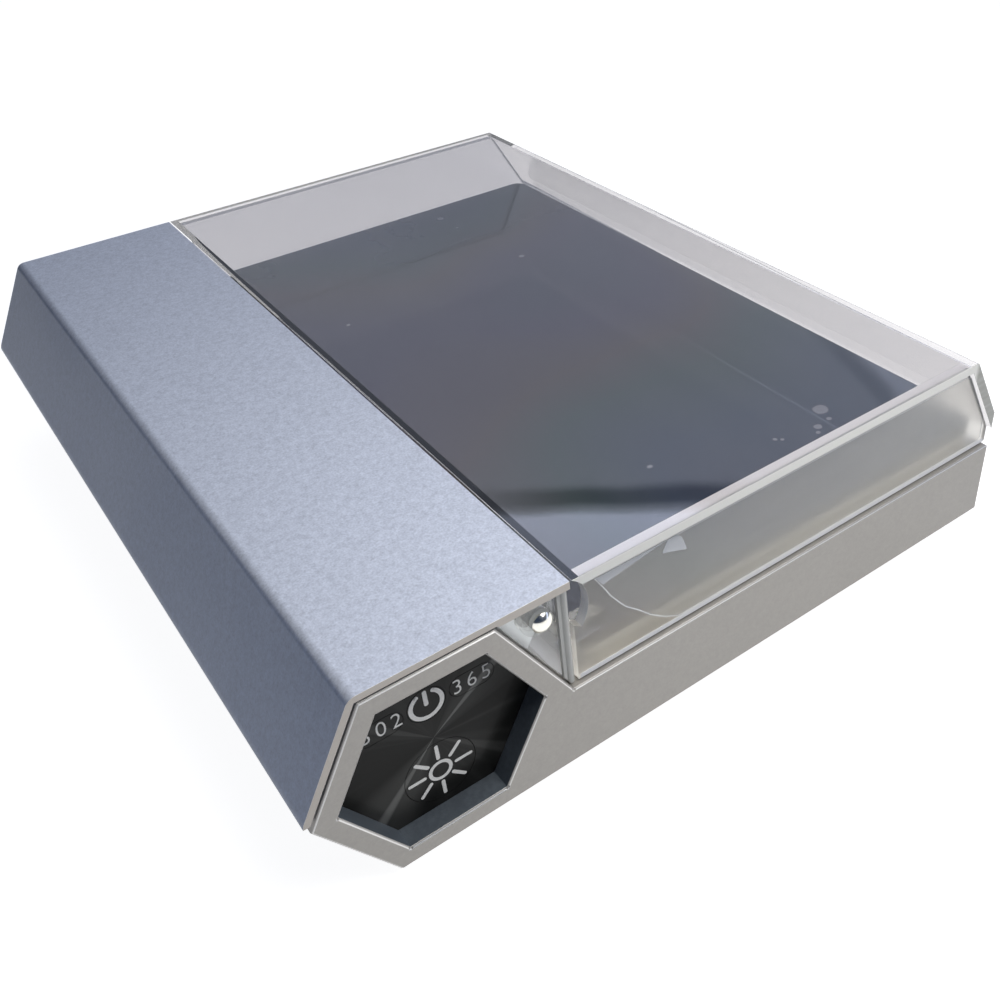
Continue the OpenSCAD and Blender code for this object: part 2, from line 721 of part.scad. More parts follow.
// An arm runs from the eye along the slope and then along the cheek
bush_t = 1.1;
arm_deg = 62;
arm_bow = (axis_z - glass_z - arm_gap - arm_w / 2) / sin(arm_deg);
module arm() {
    elbow = [axis_x, axis_z] + arm_bow * [cos(arm_deg), -sin(arm_deg)];
    side = arm_w / 2 * [sin(arm_deg), cos(arm_deg)];
    difference() {
        union() {
            along(arm_y0, arm_y1) translate([axis_x, axis_z]) circle(eye_r);
            along(arm_y0, arm_y1)
                polygon([[axis_x, axis_z] - side, [axis_x, axis_z] + side, elbow + side, elbow - side]);
            along(arm_y0, arm_y1) translate(elbow) circle(arm_w / 2);
            difference() {
                union() {
                    along(arm_y0, arm_y1) translate(elbow - [0, arm_w / 2]) square([arm_foot, arm_w]);
                    along(arm_y0, arm_y1) translate(elbow + [arm_foot, 0]) circle(arm_w / 2);
                }
                along(arm_y0 - 1, arm_y1 + 1) swing_notch();
            }
        }
        along(arm_y0 - 1, arm_y1 + 1) translate([axis_x, axis_z]) circle(pin_r + pin_fit + bush_t);
    }
}
module front_arm() { color([0.8, 0.82, 0.82, 0.6]) placed() arm(); }
module rear_arm() { color([0.8, 0.82, 0.82, 0.6]) placed() at_rear() arm(); }

module hinge_bush() {
    along(arm_y0, arm_y1) translate([axis_x, axis_z]) difference() {
        circle(pin_r + pin_fit + bush_t);
        circle(pin_r + pin_fit);
    }
}
module hinge_bushes() {
    color("#f0efe8") placed() {
        hinge_bush();
        at_rear() hinge_bush();
    }
}

base_pan();
front_frame();
rear_frame();
spine_cover();
deck_sheet();
platform_rim();
glass_gasket();
filter_glass();
diffuser_plate();
reflector_tray();
led_board();
leds_302();
leds_365();
heat_spreader();
driver_board();
driver_parts();
control_panel();
control_board();
key_switches();
ribbon_cable();
rear_panel();
dc_inlet();
inlet_contact();
front_side_plate();
rear_side_plate();
front_hinge_block();
rear_hinge_block();
front_hinge_pin();
rear_hinge_pin();
friction_washers();
rubber_feet();
frame_screws();
cover_sheet();
front_cheek();
rear_cheek();
front_arm();
rear_arm();
hinge_bushes();
power_key();
key_302();
key_365();
brightness_key();
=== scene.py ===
"""Finishes, printed symbols, small trim and studio for a benchtop UV transilluminator.

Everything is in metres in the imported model's frame: X runs from the spine to the cover's
free edge, Y from the control end to the rear end, and Z up from the bench.
"""
import json
import logging
import math
from dataclasses import dataclass, field
from enum import Enum
from typing import Any, Callable, Sequence

import bmesh
import bpy
from mathutils import Matrix, Vector


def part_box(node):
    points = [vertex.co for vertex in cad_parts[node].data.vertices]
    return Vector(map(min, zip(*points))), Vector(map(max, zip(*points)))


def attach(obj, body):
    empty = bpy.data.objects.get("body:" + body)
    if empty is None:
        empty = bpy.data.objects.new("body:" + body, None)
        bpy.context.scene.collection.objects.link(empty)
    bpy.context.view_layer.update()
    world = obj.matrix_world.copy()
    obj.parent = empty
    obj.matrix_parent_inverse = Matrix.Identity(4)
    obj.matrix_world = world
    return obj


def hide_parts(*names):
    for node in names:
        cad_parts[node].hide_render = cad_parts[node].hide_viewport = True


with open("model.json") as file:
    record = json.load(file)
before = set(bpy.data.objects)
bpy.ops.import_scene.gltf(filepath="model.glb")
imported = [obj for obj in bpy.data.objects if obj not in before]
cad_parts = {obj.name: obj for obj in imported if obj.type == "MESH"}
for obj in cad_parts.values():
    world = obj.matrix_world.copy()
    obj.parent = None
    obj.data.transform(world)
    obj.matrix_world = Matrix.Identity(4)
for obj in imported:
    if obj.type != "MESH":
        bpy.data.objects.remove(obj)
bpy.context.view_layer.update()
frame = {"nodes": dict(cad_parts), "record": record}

log = logging.getLogger("transilluminator")

Colour = tuple[float, float, float]
Triple = tuple[float, float, float]
Span = tuple[float, float]
Socket = bpy.types.NodeSocket
MM = 0.001
WHITE: Colour = (1.0, 1.0, 1.0)
BLACK: Colour = (0.0, 0.0, 0.0)
ACRYLIC_IOR = 1.49


class Body(str, Enum):
    """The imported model's moving bodies."""

    BASE = "base"
    COVER = "cover"
    POWER = "power_key"
    KEY_302 = "key_302"
    KEY_365 = "key_365"
    BRIGHTNESS = "brightness_key"


# ---------- node trees ----------


class Wiring:
    """Shorthand for adding and joining the nodes of one tree."""

    def __init__(self, tree: bpy.types.NodeTree) -> None:
        """Takes the tree that the nodes go into."""
        self.tree = tree

    def add(self, kind: str, **settings: Any) -> bpy.types.Node:
        """Adds a node.

        Args:
            kind: The node's type name.
            settings: Properties to set on the node.

        Returns:
            The new node.
        """
        node = self.tree.nodes.new(kind)
        for name, value in settings.items():
            setattr(node, name, value)
        return node

    def join(self, source: Any, target: Socket) -> None:
        """Feeds a socket.

        Args:
            source: A socket to link, or a plain value to set.
            target: The socket that is fed.
        """
        if isinstance(source, bpy.types.NodeSocket):
            self.tree.links.new(source, target)
        else:
            target.default_value = source

    def math(self, operation: str, *values: Any, clamp: bool = False) -> Socket:
        """Works out a sum.

        Args:
            operation: The sum's name.
            values: Values or sockets, in the order of the node's inputs.
            clamp: Whether the result is held between 0 and 1.

        Returns:
            The result.
        """
        node = self.add("ShaderNodeMath", operation=operation, use_clamp=clamp)
        for value, socket in zip(values, node.inputs):
            self.join(value, socket)
        return node.outputs[0]

    def vector(self, operation: str, *values: Any) -> Socket:
        """Works out a sum of vectors.

        Args:
            operation: The sum's name.
            values: Vectors or sockets, in the order of the node's inputs.

        Returns:
            The result, which is a plain value for a length or a dot product.
        """
        node = self.add("ShaderNodeVectorMath", operation=operation)
        for value, socket in zip(values, node.inputs):
            self.join(value, socket)
        return node.outputs["Value" if operation in ("DOT_PRODUCT", "LENGTH") else "Vector"]

    def blend(self, factor: Any, first: Any, second: Any, mode: str = "MIX") -> Socket:
        """Mixes two colours.

        Args:
            factor: How much of the second shows.
            first: The first colour.
            second: The second colour.
            mode: How the two are put together.

        Returns:
            The mixed colour.
        """
        node = self.add("ShaderNodeMix", data_type="RGBA", blend_type=mode)
        self.join(factor, node.inputs["Factor"])
        self.join(rgba(first), node.inputs["A"])
        self.join(rgba(second), node.inputs["B"])
        return node.outputs["Result"]

    def remap(self, value: Any, low: float, high: float, to_low: Any = 0.0, to_high: Any = 1.0) -> Socket:
        """Carries a value from one range to another, with eased ends and clamped.

        Args:
            value: The socket to carry over.
            low: Start of the first range.
            high: End of the first range.
            to_low: Result at the start.
            to_high: Result at the end.

        Returns:
            The remapped socket.
        """
        node = self.add("ShaderNodeMapRange", interpolation_type="SMOOTHSTEP")
        for name, number in (("Value", value), ("From Min", low), ("From Max", high),
                             ("To Min", to_low), ("To Max", to_high)):
            self.join(number, node.inputs[name])
        return node.outputs["Result"]

    def noise(self, place: Any, scale: float, detail: float = 2.0, rough: float = 0.5) -> Socket:
        """Adds a noise pattern.

        Args:
            place: The coordinates it reads.
            scale: Cells per metre.
            detail: Octaves.
            rough: How strong the finer octaves are.

        Returns:
            The pattern's value.
        """
        node = self.add("ShaderNodeTexNoise", noise_dimensions="3D")
        self.join(place, node.inputs["Vector"])
        node.inputs["Scale"].default_value = scale
        node.inputs["Detail"].default_value = detail
        node.inputs["Roughness"].default_value = rough
        return node.outputs["Fac"]

    def ramp(self, value: Socket, stops: Sequence[tuple[float, Colour]]) -> Socket:
        """Turns a value into a colour.

        Args:
            value: The socket to read.
            stops: Value and colour of each stop, in rising order.

        Returns:
            The colour.
        """
        node = self.add("ShaderNodeValToRGB")
        elements = node.color_ramp.elements
        while len(elements) < len(stops):
            elements.new(0.5)
        for element, (position, colour) in zip(elements, stops):
            element.position = position
            element.color = rgba(colour)
        self.join(value, node.inputs[0])
        return node.outputs[0]

    def axes(self, place: Any) -> tuple[Socket, Socket, Socket]:
        """Splits a vector.

        Args:
            place: The vector.

        Returns:
            Its X, Y and Z sockets.
        """
        node = self.add("ShaderNodeSeparateXYZ")
        self.join(place, node.inputs[0])
        return node.outputs[0], node.outputs[1], node.outputs[2]

    def bump(self, height: Socket, strength: float, distance: float) -> Socket:
        """Turns a height pattern into a normal.

        Args:
            height: The pattern.
            strength: How much of it shows.
            distance: The height of a full step, in metres.

        Returns:
            The new normal.
        """
        node = self.add("ShaderNodeBump")
        node.inputs["Strength"].default_value = strength
        node.inputs["Distance"].default_value = distance
        self.join(height, node.inputs["Height"])
        return node.outputs["Normal"]

    def group(self, tree: bpy.types.NodeTree, **values: Any) -> bpy.types.Node:
        """Places a node group.

        Args:
            tree: The group.
            values: What its inputs get, by their names in small letters.

        Returns:
            The group's node.
        """
        node = self.add("ShaderNodeGroup", node_tree=tree)
        for name, value in values.items():
            self.join(value, node.inputs[name.title()])
        return node

    def mix(self, factor: Any, first: Socket, second: Socket) -> Socket:
        """Mixes two shaders.

        Args:
            factor: How much of the second shows.
            first: The first shader.
            second: The second shader.

        Returns:
            The mixed shader.
        """
        node = self.add("ShaderNodeMixShader")
        for source, target in zip((factor, first, second), node.inputs):
            self.join(source, target)
        return node.outputs[0]


def rgba(value: Any) -> Any:
    """Adds an opaque alpha to a plain colour, and passes anything else on."""
    return (*value, 1.0) if isinstance(value, tuple) and len(value) == 3 else value


def scaled(tone: Colour, share: float) -> Colour:
    """Makes a colour lighter or darker, but never past white."""
    return tuple(min(1.0, part * share) for part in tone)


def empty_tree(owner: bpy.types.Material | bpy.types.World) -> Wiring:
    """Switches the nodes of a material or world on and empties them.

    Args:
        owner: The material or world.

    Returns:
        The wiring of its tree.
    """
    owner.use_nodes = True
    owner.node_tree.nodes.clear()
    return Wiring(owner.node_tree)


class SharedEffects:
    """Surface effects that several finishes use, each built once as a node group.

    Patterns are given in cells per metre, and each span is where a mask starts and ends.
    """

    fine_grain = 1900
    coarse_grain = 620
    fine_share = 0.65
    smear_stretch: Triple = (1.0, 0.45, 1.0)
    smear_patches = 22
    smear_span: Span = (0.45, 0.7)
    smear_streaks = 140
    streak_span: Span = (0.3, 0.7)
    streak_floor = 0.4
    looks_up: Span = (0.5, 0.95)
    dust_specks = 2600
    speck_span: Span = (0.6, 0.75)
    speck_floor = 0.15
    dust_drifts = 35
    drift_span: Span = (0.35, 0.7)
    drift_floor = 0.3

    def __init__(self) -> None:
        """Builds the groups."""
        self.grain = self._grain()
        self.handling = self._handling()
        self.dust = self._dust()

    @staticmethod
    def _start(name: str, inputs: Sequence[tuple[str, str, float]],
               outputs: Sequence[tuple[str, str]]) -> Wiring:
        """Opens a group with its named sockets.

        Args:
            name: The group's name.
            inputs: Name, socket kind and first value of each input.
            outputs: Name and socket kind of each output.

        Returns:
            The wiring of the new tree.
        """
        tree = bpy.data.node_groups.new(name, "ShaderNodeTree")
        for label, kind, value in inputs:
            item = tree.interface.new_socket(name=label, in_out="INPUT", socket_type=f"NodeSocket{kind}")
            if kind == "Float":
                item.default_value = value
        for label, kind in outputs:
            tree.interface.new_socket(name=label, in_out="OUTPUT", socket_type=f"NodeSocket{kind}")
        return Wiring(tree)

    def _grain(self) -> bpy.types.NodeTree:
        """Makes bead-blasted speckle.

        Returns:
            The group, which puts out a shade around one and a height.
        """
        w = self._start("blasted_grain", [("Place", "Vector", 0.0), ("Contrast", "Float", 0.05)],
                        [("Shade", "Float"), ("Height", "Float")])
        into, out = w.add("NodeGroupInput"), w.add("NodeGroupOutput")
        fine = w.math("MULTIPLY", w.noise(into.outputs["Place"], self.fine_grain, rough=0.6), self.fine_share)
        coarse = w.noise(into.outputs["Place"], self.coarse_grain, detail=1.0)
        height = w.math("ADD", fine, w.math("MULTIPLY", coarse, 1 - self.fine_share))
        centred = w.math("SUBTRACT", height, 0.5)
        w.join(w.math("MULTIPLY_ADD", centred, into.outputs["Contrast"], 1.0), out.inputs["Shade"])
        w.join(height, out.inputs["Height"])
        return w.tree

    def _handling(self) -> bpy.types.NodeTree:
        """Makes faint smears of handling over broad soft patches.

        Returns:
            The group, which puts out a mask from 0 to 1.
        """
        w = self._start("handling_smears", [("Place", "Vector", 0.0), ("Spread", "Float", 1.0)],
                        [("Mask", "Float")])
        into, out = w.add("NodeGroupInput"), w.add("NodeGroupOutput")
        stretched = w.vector("MULTIPLY", into.outputs["Place"], self.smear_stretch)
        broad = w.noise(stretched, self.smear_patches, detail=4.0, rough=0.6)
        fine = w.noise(into.outputs["Place"], self.smear_streaks, detail=3.0, rough=0.7)
        both = w.math("MULTIPLY", w.remap(broad, *self.smear_span),
                      w.remap(fine, *self.streak_span, self.streak_floor))
        w.join(w.math("MULTIPLY", both, into.outputs["Spread"], clamp=True), out.inputs["Mask"])
        return w.tree

    def _dust(self) -> bpy.types.NodeTree:
        """Makes fine dust that gathers on faces that look up.

        Returns:
            The group, which puts out a mask from 0 to 1.
        """
        w = self._start("settled_dust", [("Place", "Vector", 0.0), ("Amount", "Float", 0.1)],
                        [("Mask", "Float")])
        into, out = w.add("NodeGroupInput"), w.add("NodeGroupOutput")
        up = w.axes(w.add("ShaderNodeNewGeometry").outputs["Normal"])[2]
        level = w.remap(up, *self.looks_up)
        specks = w.noise(into.outputs["Place"], self.dust_specks, detail=1.0)
        drift = w.noise(into.outputs["Place"], self.dust_drifts, detail=3.0)
        mask = w.math("MULTIPLY", level, w.remap(specks, *self.speck_span, self.speck_floor))
        mask = w.math("MULTIPLY", mask, w.remap(drift, *self.drift_span, self.drift_floor))
        w.join(w.math("MULTIPLY", mask, into.outputs["Amount"], clamp=True), out.inputs["Mask"])
        return w.tree


EFFECTS = SharedEffects()


# ---------- kinds of finish ----------


class Finish:
    """A material recipe. Each kind of finish fills in its own surface."""

    name: str

    def build(self) -> bpy.types.Material:
        """Makes the material, once.

        Returns:
            The material.
        """
        known = bpy.data.materials.get(self.name)
        if known:
            return known
        material = bpy.data.materials.new(self.name)
        w = empty_tree(material)
        place = w.add("ShaderNodeTexCoord").outputs["Object"]
        w.join(self.surface(w, place), w.add("ShaderNodeOutputMaterial").inputs["Surface"])
        return material

    def surface(self, w: Wiring, place: Socket) -> Socket:
        """Makes the shader that covers the surface.

        Args:
            w: The material's wiring.
            place: Where the surface is, in the model's frame.

        Returns:
            The shader.
        """
        raise NotImplementedError

    @staticmethod
    def principled(w: Wiring, **values: Any) -> Socket:
        """Adds the main shader.

        Args:
            w: The material's wiring.
            values: Socket names, with underscores for spaces, and what they get.

        Returns:
            The shader.
        """
        node = w.add("ShaderNodeBsdfPrincipled")
        for name, value in values.items():
            w.join(rgba(value), node.inputs[name.replace("_", " ")])
        return node.outputs["BSDF"]


@dataclass(frozen=True)
class BlastedMetal(Finish):
    """Bead-blasted and anodised aluminium, with machined chamfers that are bright partly as bare metal and
    partly as a painted highlight.

    Attributes:
        painted_flank_shade: Painted shade, a darker and bluer tint of the faces that look away from the
            cover, towards -X.
        painted_flank_facing: The X of a normal where that painted shade starts and is full.
        chamfer_start: The size of a normal's Y where a chamfer starts and is full.
        chamfer_end: The same where it fades and is gone.
        bright_from: Distance along Y from the middle past which chamfers are bright with their painted
            highlight.
        bright_fade: The distance over which they turn bright.
        faint_chamfer: What is left of their brightness before that.
    """

    name: str
    tone: Colour
    contrast: float
    strength: float
    metallic: float = 0.5
    rough: float = 0.45
    depth: float = 0.00006
    smears: float = 0.5
    smear_rough: float = 0.07
    dust: float = 0.10
    dust_tone: Colour = (0.72, 0.71, 0.69)
    # pale colour of the chamfers: bare machined metal, with a painted highlight on top
    chamfer: Colour = (0.86, 0.85, 0.82)
    chamfer_start: Span = (0.3, 0.45)
    chamfer_end: Span = (0.85, 0.95)
    chamfer_rough: float = -0.18
    bright_edges: float = 0.8
    bright_from: float = 0.0
    bright_fade: float = 0.1 * MM
    faint_chamfer: float = 0.1
    painted_flank_shade: Colour = WHITE
    painted_flank_facing: Span = (-0.5, -0.8)

    def surface(self, w: Wiring, place: Socket) -> Socket:
        """Makes speckled metal with smears in its gloss, a little dust, a painted shade on the side towards
        -X and bright chamfers with a painted highlight.

        Args:
            w: The material's wiring.
            place: Where the surface is.

        Returns:
            The shader.
        """
        grain = w.group(EFFECTS.grain, place=place, contrast=self.contrast)
        smear = w.group(EFFECTS.handling, place=place, spread=self.smears).outputs["Mask"]
        dust = w.group(EFFECTS.dust, place=place, amount=self.dust).outputs["Mask"]
        facing = w.axes(w.add("ShaderNodeNewGeometry").outputs["Normal"])
        shade = w.add("ShaderNodeCombineColor")
        for channel in shade.inputs[:3]:
            w.join(grain.outputs["Shade"], channel)
        speckled = w.blend(1.0, self.tone, shade.outputs[0], "MULTIPLY")
        # painted shade: faces that look towards -X are tinted darker and bluer
        side = w.blend(w.remap(facing[0], *self.painted_flank_facing), WHITE, self.painted_flank_shade)
        dusty = w.blend(dust, w.blend(1.0, speckled, side, "MULTIPLY"), self.dust_tone)
        # painted highlight: a pale colour on chamfers picked by the Y of their normal
        edge = self._chamfers(w, place, facing[1])
        gloss = w.math("MULTIPLY_ADD", smear, self.smear_rough, self.rough)
        gloss = w.math("MULTIPLY_ADD", edge, self.chamfer_rough, gloss)
        return self.principled(
            w, Base_Color=w.blend(edge, dusty, self.chamfer), Metallic=self.metallic, Roughness=gloss,
            Normal=w.bump(grain.outputs["Height"], self.strength, self.depth))

    def _chamfers(self, w: Wiring, place: Socket, along: Socket) -> Socket:
        """Finds the chamfers of faces that look along Y, which get a painted highlight.

        Args:
            w: The material's wiring.
            place: Where the surface is.
            along: The Y of its normal.

        Returns:
            A mask that is highest on the chamfers.
        """
        size = w.math("ABSOLUTE", along)
        edge = w.math("MULTIPLY", w.remap(size, *self.chamfer_start),
                      w.remap(size, *self.chamfer_end, 1.0, 0.0))
        reach = w.math("ABSOLUTE", w.axes(place)[1])
        outer = w.remap(reach, self.bright_from - self.bright_fade, self.bright_from, self.faint_chamfer)
        return w.math("MULTIPLY", w.math("MULTIPLY", edge, outer), self.bright_edges)


@dataclass(frozen=True)
class ClearPlastic(Finish):
    """Clear acrylic that lets lamps through, with haze and smears of its own.

    Attributes:
        haze: How much rougher the smears make it.
        ghost: The least share of light that passes straight through.
    """

    name: str
    tone: Colour
    rough: float
    haze: float = 0.0
    ghost: float = 0.0
    smear_rough: float = 0.02
    haze_share: float = 0.3
    smear_tint: float = 0.3
    smear_dark: float = 0.96

    def surface(self, w: Wiring, place: Socket) -> Socket:
        """Makes refracting plastic, which lamps and soft light pass straight through.

        Args:
            w: The material's wiring.
            place: Where the surface is.

        Returns:
            The shader.
        """
        smear = w.group(EFFECTS.handling, place=place, spread=1.0).outputs["Mask"]
        rough = w.math("MULTIPLY_ADD", smear, self.smear_rough + self.haze * self.haze_share, self.rough)
        dark = scaled(self.tone, self.smear_dark)
        tint = w.blend(w.math("MULTIPLY", smear, self.smear_tint), self.tone, dark)
        clear = self.principled(w, Base_Color=tint, Roughness=rough, IOR=ACRYLIC_IOR, Transmission_Weight=1.0)
        through = w.add("ShaderNodeBsdfTransparent")
        w.join(rgba(self.tone), through.inputs["Color"])
        path = w.add("ShaderNodeLightPath")
        lit = w.math("MAXIMUM", path.outputs["Is Shadow Ray"], path.outputs["Is Diffuse Ray"])
        return w.mix(w.math("MAXIMUM", lit, self.ghost), clear, through.outputs[0])


@dataclass(frozen=True)
class ThinFilm(Finish):
    """A protective film that lets most light straight through.

    Attributes:
        milk: How much of the film itself shows.
    """

    name: str
    tone: Colour = (0.80, 0.79, 0.74)
    milk: float = 0.09
    ripple_stretch: Triple = (0.3, 1.0, 1.0)
    ripples: float = 120
    ripple_milk: float = 0.06
    ripple_strength: float = 0.4
    ripple_depth: float = 0.2 * MM
    rough: float = 0.12
    ior: float = 1.45

    def surface(self, w: Wiring, place: Socket) -> Socket:
        """Makes an open surface with a pale sheen over faint ripples.

        Args:
            w: The material's wiring.
            place: Where the surface is.

        Returns:
            The shader.
        """
        ripple = w.noise(w.vector("MULTIPLY", place, self.ripple_stretch), self.ripples)
        film = self.principled(w, Base_Color=self.tone, Roughness=self.rough, IOR=self.ior,
                               Normal=w.bump(ripple, self.ripple_strength, self.ripple_depth))
        through = w.add("ShaderNodeBsdfTransparent").outputs[0]
        return w.mix(w.math("MULTIPLY_ADD", ripple, self.ripple_milk, self.milk), through, film)


@dataclass(frozen=True)
class SawnAcrylic(Finish):
    """The polished saw cut at a sheet's end, painted pale as painted light for the light that runs inside and
    comes out there.

    Attributes:
        bend_x: Where along X the sheet bends down and its edge turns darker with painted shade.
        bend_painted_shade: The edge's painted shade past there.
    """

    name: str
    # pale colour that stands for the light coming out of the edge: painted light
    tone: Colour = (0.94, 0.93, 0.84)
    bend_x: float = 1.0
    bend_painted_shade: Colour = (0.30, 0.30, 0.25)
    streak_stretch: Triple = (0.1, 1.0, 1.0)
    streaks: float = 900
    streak_share: float = 0.35
    streak_light: float = 1.25
    streak_strength: float = 0.15
    streak_depth: float = 0.05 * MM
    rough: float = 0.22

    def surface(self, w: Wiring, place: Socket) -> Socket:
        """Makes a milky, faintly streaked edge, pale with painted light and darker past the bend with painted
        shade.

        Args:
            w: The material's wiring.
            place: Where the surface is.

        Returns:
            The shader.
        """
        streak = w.noise(w.vector("MULTIPLY", place, self.streak_stretch), self.streaks)
        # painted shade: past the bend the edge is darker
        past_bend = w.remap(w.axes(place)[0], self.bend_x - MM, self.bend_x + MM)
        base = w.blend(past_bend, self.tone, self.bend_painted_shade)
        light = scaled(self.tone, self.streak_light)
        colour = w.blend(w.math("MULTIPLY", streak, self.streak_share), base, light)
        return self.principled(w, Base_Color=colour, Roughness=self.rough, IOR=ACRYLIC_IOR,
                               Normal=w.bump(streak, self.streak_strength, self.streak_depth))


@dataclass(frozen=True)
class FilterGlass(Finish):
    """Black filter glass with its coating's faint rainbow sheen painted into its colour, and a few dried
    spots.

    Attributes:
        spots: X, Y and radius of each spot.
        sheen_bands: The pattern's value and the colour of each band of the painted rainbow sheen.
        painted_sheen_share: How much of the painted rainbow sheen shows.
        spot_wobble: How far the spots' rims wander in and out.
        spot_core: The share of its radius over which a spot is even.
        spot_level: How much of a spot shows there.
    """

    name: str
    spots: tuple[Triple, ...]
    tone: Colour = (0.030, 0.036, 0.052)
    sheen_bands: tuple[tuple[float, Colour], ...] = (
        (0.30, (0.028, 0.046, 0.096)), (0.42, (0.072, 0.044, 0.100)), (0.50, (0.108, 0.066, 0.040)),
        (0.57, (0.036, 0.080, 0.052)), (0.66, (0.026, 0.056, 0.108)), (0.78, (0.062, 0.046, 0.078)))
    painted_sheen_share: float = 0.5
    band_stretch: Triple = (1.0, 0.8, 1.0)
    band_scale: float = 7.5
    smears: float = 0.8
    smear_tone: Colour = (0.2, 0.21, 0.23)
    smear_tint: float = 0.12
    smear_rough: float = 0.03
    rough: float = 0.02
    ior: float = 1.52
    spot_tone: Colour = (0.42, 0.43, 0.47)
    spot_rough: float = 0.3
    spot_wobble: float = 0.8 * MM
    spot_grain: float = 260
    spot_core: float = 0.75
    spot_level: float = 0.55

    def surface(self, w: Wiring, place: Socket) -> Socket:
        """Makes polished glass whose coating's rainbow sheen is painted into its colour and shifts slowly.

        Args:
            w: The material's wiring.
            place: Where the surface is.

        Returns:
            The shader.
        """
        # painted sheen: the coating's rainbow is painted into the base colour
        stretched = w.vector("MULTIPLY", place, self.band_stretch)
        rainbow = w.ramp(w.noise(stretched, self.band_scale, detail=1.5, rough=0.4), self.sheen_bands)
        smear = w.group(EFFECTS.handling, place=place, spread=self.smears).outputs["Mask"]
        colour = w.blend(self.painted_sheen_share, self.tone, rainbow)
        colour = w.blend(w.math("MULTIPLY", smear, self.smear_tint), colour, self.smear_tone)
        mark = self._marks(w, place)
        smeared = w.math("MULTIPLY_ADD", smear, self.smear_rough, self.rough)
        rough = w.math("ADD", smeared, w.math("MULTIPLY", mark, self.spot_rough))
        colour = w.blend(mark, colour, self.spot_tone)
        return self.principled(w, Base_Color=colour, Roughness=rough, IOR=self.ior)

    def _marks(self, w: Wiring, place: Socket) -> Socket:
        """Finds the dried spots.

        Args:
            w: The material's wiring.
            place: Where the surface is.

        Returns:
            A mask that is highest inside each spot.
        """
        wander = w.noise(place, self.spot_grain, detail=1.0)
        wobble = w.math("MULTIPLY_ADD", wander, 2 * self.spot_wobble, -self.spot_wobble)
        total: Any = 0.0
        for x, y, radius in self.spots:
            offset = w.vector("SUBTRACT", place, (x, y, 0.0))
            flat = w.vector("MULTIPLY", offset, (1.0, 1.0, 0.0))
            gap = w.math("ADD", w.vector("LENGTH", flat), wobble)
            disc = w.remap(gap, radius * self.spot_core, radius, self.spot_level, 0.0)
            total = w.math("MAXIMUM", total, disc)
        return total


@dataclass(frozen=True)
class SpunPanel(Finish):
    """Black spin-brushed metal under a thin gloss coat, with painted highlight streaks and faint painted rays
    of sheen in its colour.

    Attributes:
        centre: The middle of the rings.
        streaks: Direction and half width in degrees, and strength, of each painted highlight streak.
        turn_size: Radius of the circle that the brushing pattern is wrapped around.
        ring_pitch: How much faster the pattern changes along the radius than around the rings.
        ray_pitch: The same, as a share of the ring pitch, for the faint rays of painted sheen.
    """

    name: str
    centre: Triple
    tone: Colour = (0.010, 0.010, 0.009)
    # colour of the painted highlight streaks and rays
    painted_highlight_tone: Colour = (0.22, 0.22, 0.205)
    streaks: tuple[Triple, ...] = (
        (36.0, 4.0, 0.55), (36.0, 26.0, 0.14), (-133.0, 4.5, 0.5), (-133.0, 30.0, 0.16),
        (136.0, 5.0, 0.16), (-44.0, 5.0, 0.16))
    turn_size: float = 0.02
    ring_pitch: float = 6.0
    rings: float = 900
    ring_strength: float = 0.25
    ring_depth: float = 0.03 * MM
    rays: float = 160
    ray_pitch: float = 0.01
    ray_span: Span = (0.5, 0.75)
    ray_level: float = 0.08
    metallic: float = 0.15
    rough: float = 0.4
    ior: float = 1.22
    anisotropic: float = 0.85
    coat: float = 0.04
    coat_rough: float = 0.06

    def surface(self, w: Wiring, place: Socket) -> Socket:
        """Makes rings of fine brushing under crossed painted highlight streaks and faint painted rays.

        Args:
            w: The material's wiring.
            place: Where the surface is.

        Returns:
            The shader.
        """
        offset = w.vector("MULTIPLY", w.vector("SUBTRACT", place, self.centre), (1.0, 0.0, 1.0))
        x, _, z = w.axes(offset)
        turn = self._turn(w, x, z, w.vector("LENGTH", offset))
        rings = w.noise(turn, self.rings, rough=0.7)
        # painted sheen: faint rays around the middle and crossed highlight streaks are painted into the
        # colour
        rays = w.noise(w.vector("MULTIPLY", turn, (1.0, 1.0, self.ray_pitch)), self.rays, rough=0.6)
        painted_shine: Any = w.math("MULTIPLY", w.remap(rays, *self.ray_span), self.ray_level)
        way = w.vector("NORMALIZE", offset)
        for degrees, half_width, level in self.streaks:
            angle = math.radians(degrees)
            facing = w.vector("DOT_PRODUCT", way, (math.cos(angle), 0.0, math.sin(angle)))
            painted_lobe = w.remap(facing, math.cos(math.radians(half_width)), 1.0, 0.0, level)
            painted_shine = w.math("ADD", painted_shine, painted_lobe)
        tangent = w.add("ShaderNodeCombineXYZ")
        w.join(w.math("MULTIPLY", z, -1.0), tangent.inputs[0])
        w.join(x, tangent.inputs[2])
        return self.principled(
            w, Base_Color=w.blend(w.math("MINIMUM", painted_shine, 1.0), self.tone, self.painted_highlight_tone),
            Metallic=self.metallic, Roughness=self.rough, IOR=self.ior, Anisotropic=self.anisotropic,
            Tangent=w.vector("NORMALIZE", tangent.outputs[0]), Coat_Weight=self.coat,
            Coat_Roughness=self.coat_rough, Normal=w.bump(rings, self.ring_strength, self.ring_depth))

    def _turn(self, w: Wiring, x: Socket, z: Socket, radius: Socket) -> Socket:
        """Wraps the pattern's coordinates around the middle.

        Args:
            w: The material's wiring.
            x: Distance from the middle along X.
            z: Distance from the middle along Z.
            radius: Distance from the middle.

        Returns:
            A vector of the place on a circle and of the radius.
        """
        angle = w.math("ARCTAN2", z, x)
        turn = w.add("ShaderNodeCombineXYZ")
        w.join(w.math("MULTIPLY", w.math("COSINE", angle), self.turn_size), turn.inputs[0])
        w.join(w.math("MULTIPLY", w.math("SINE", angle), self.turn_size), turn.inputs[1])
        w.join(w.math("MULTIPLY", radius, self.ring_pitch), turn.inputs[2])
        return turn.outputs[0]


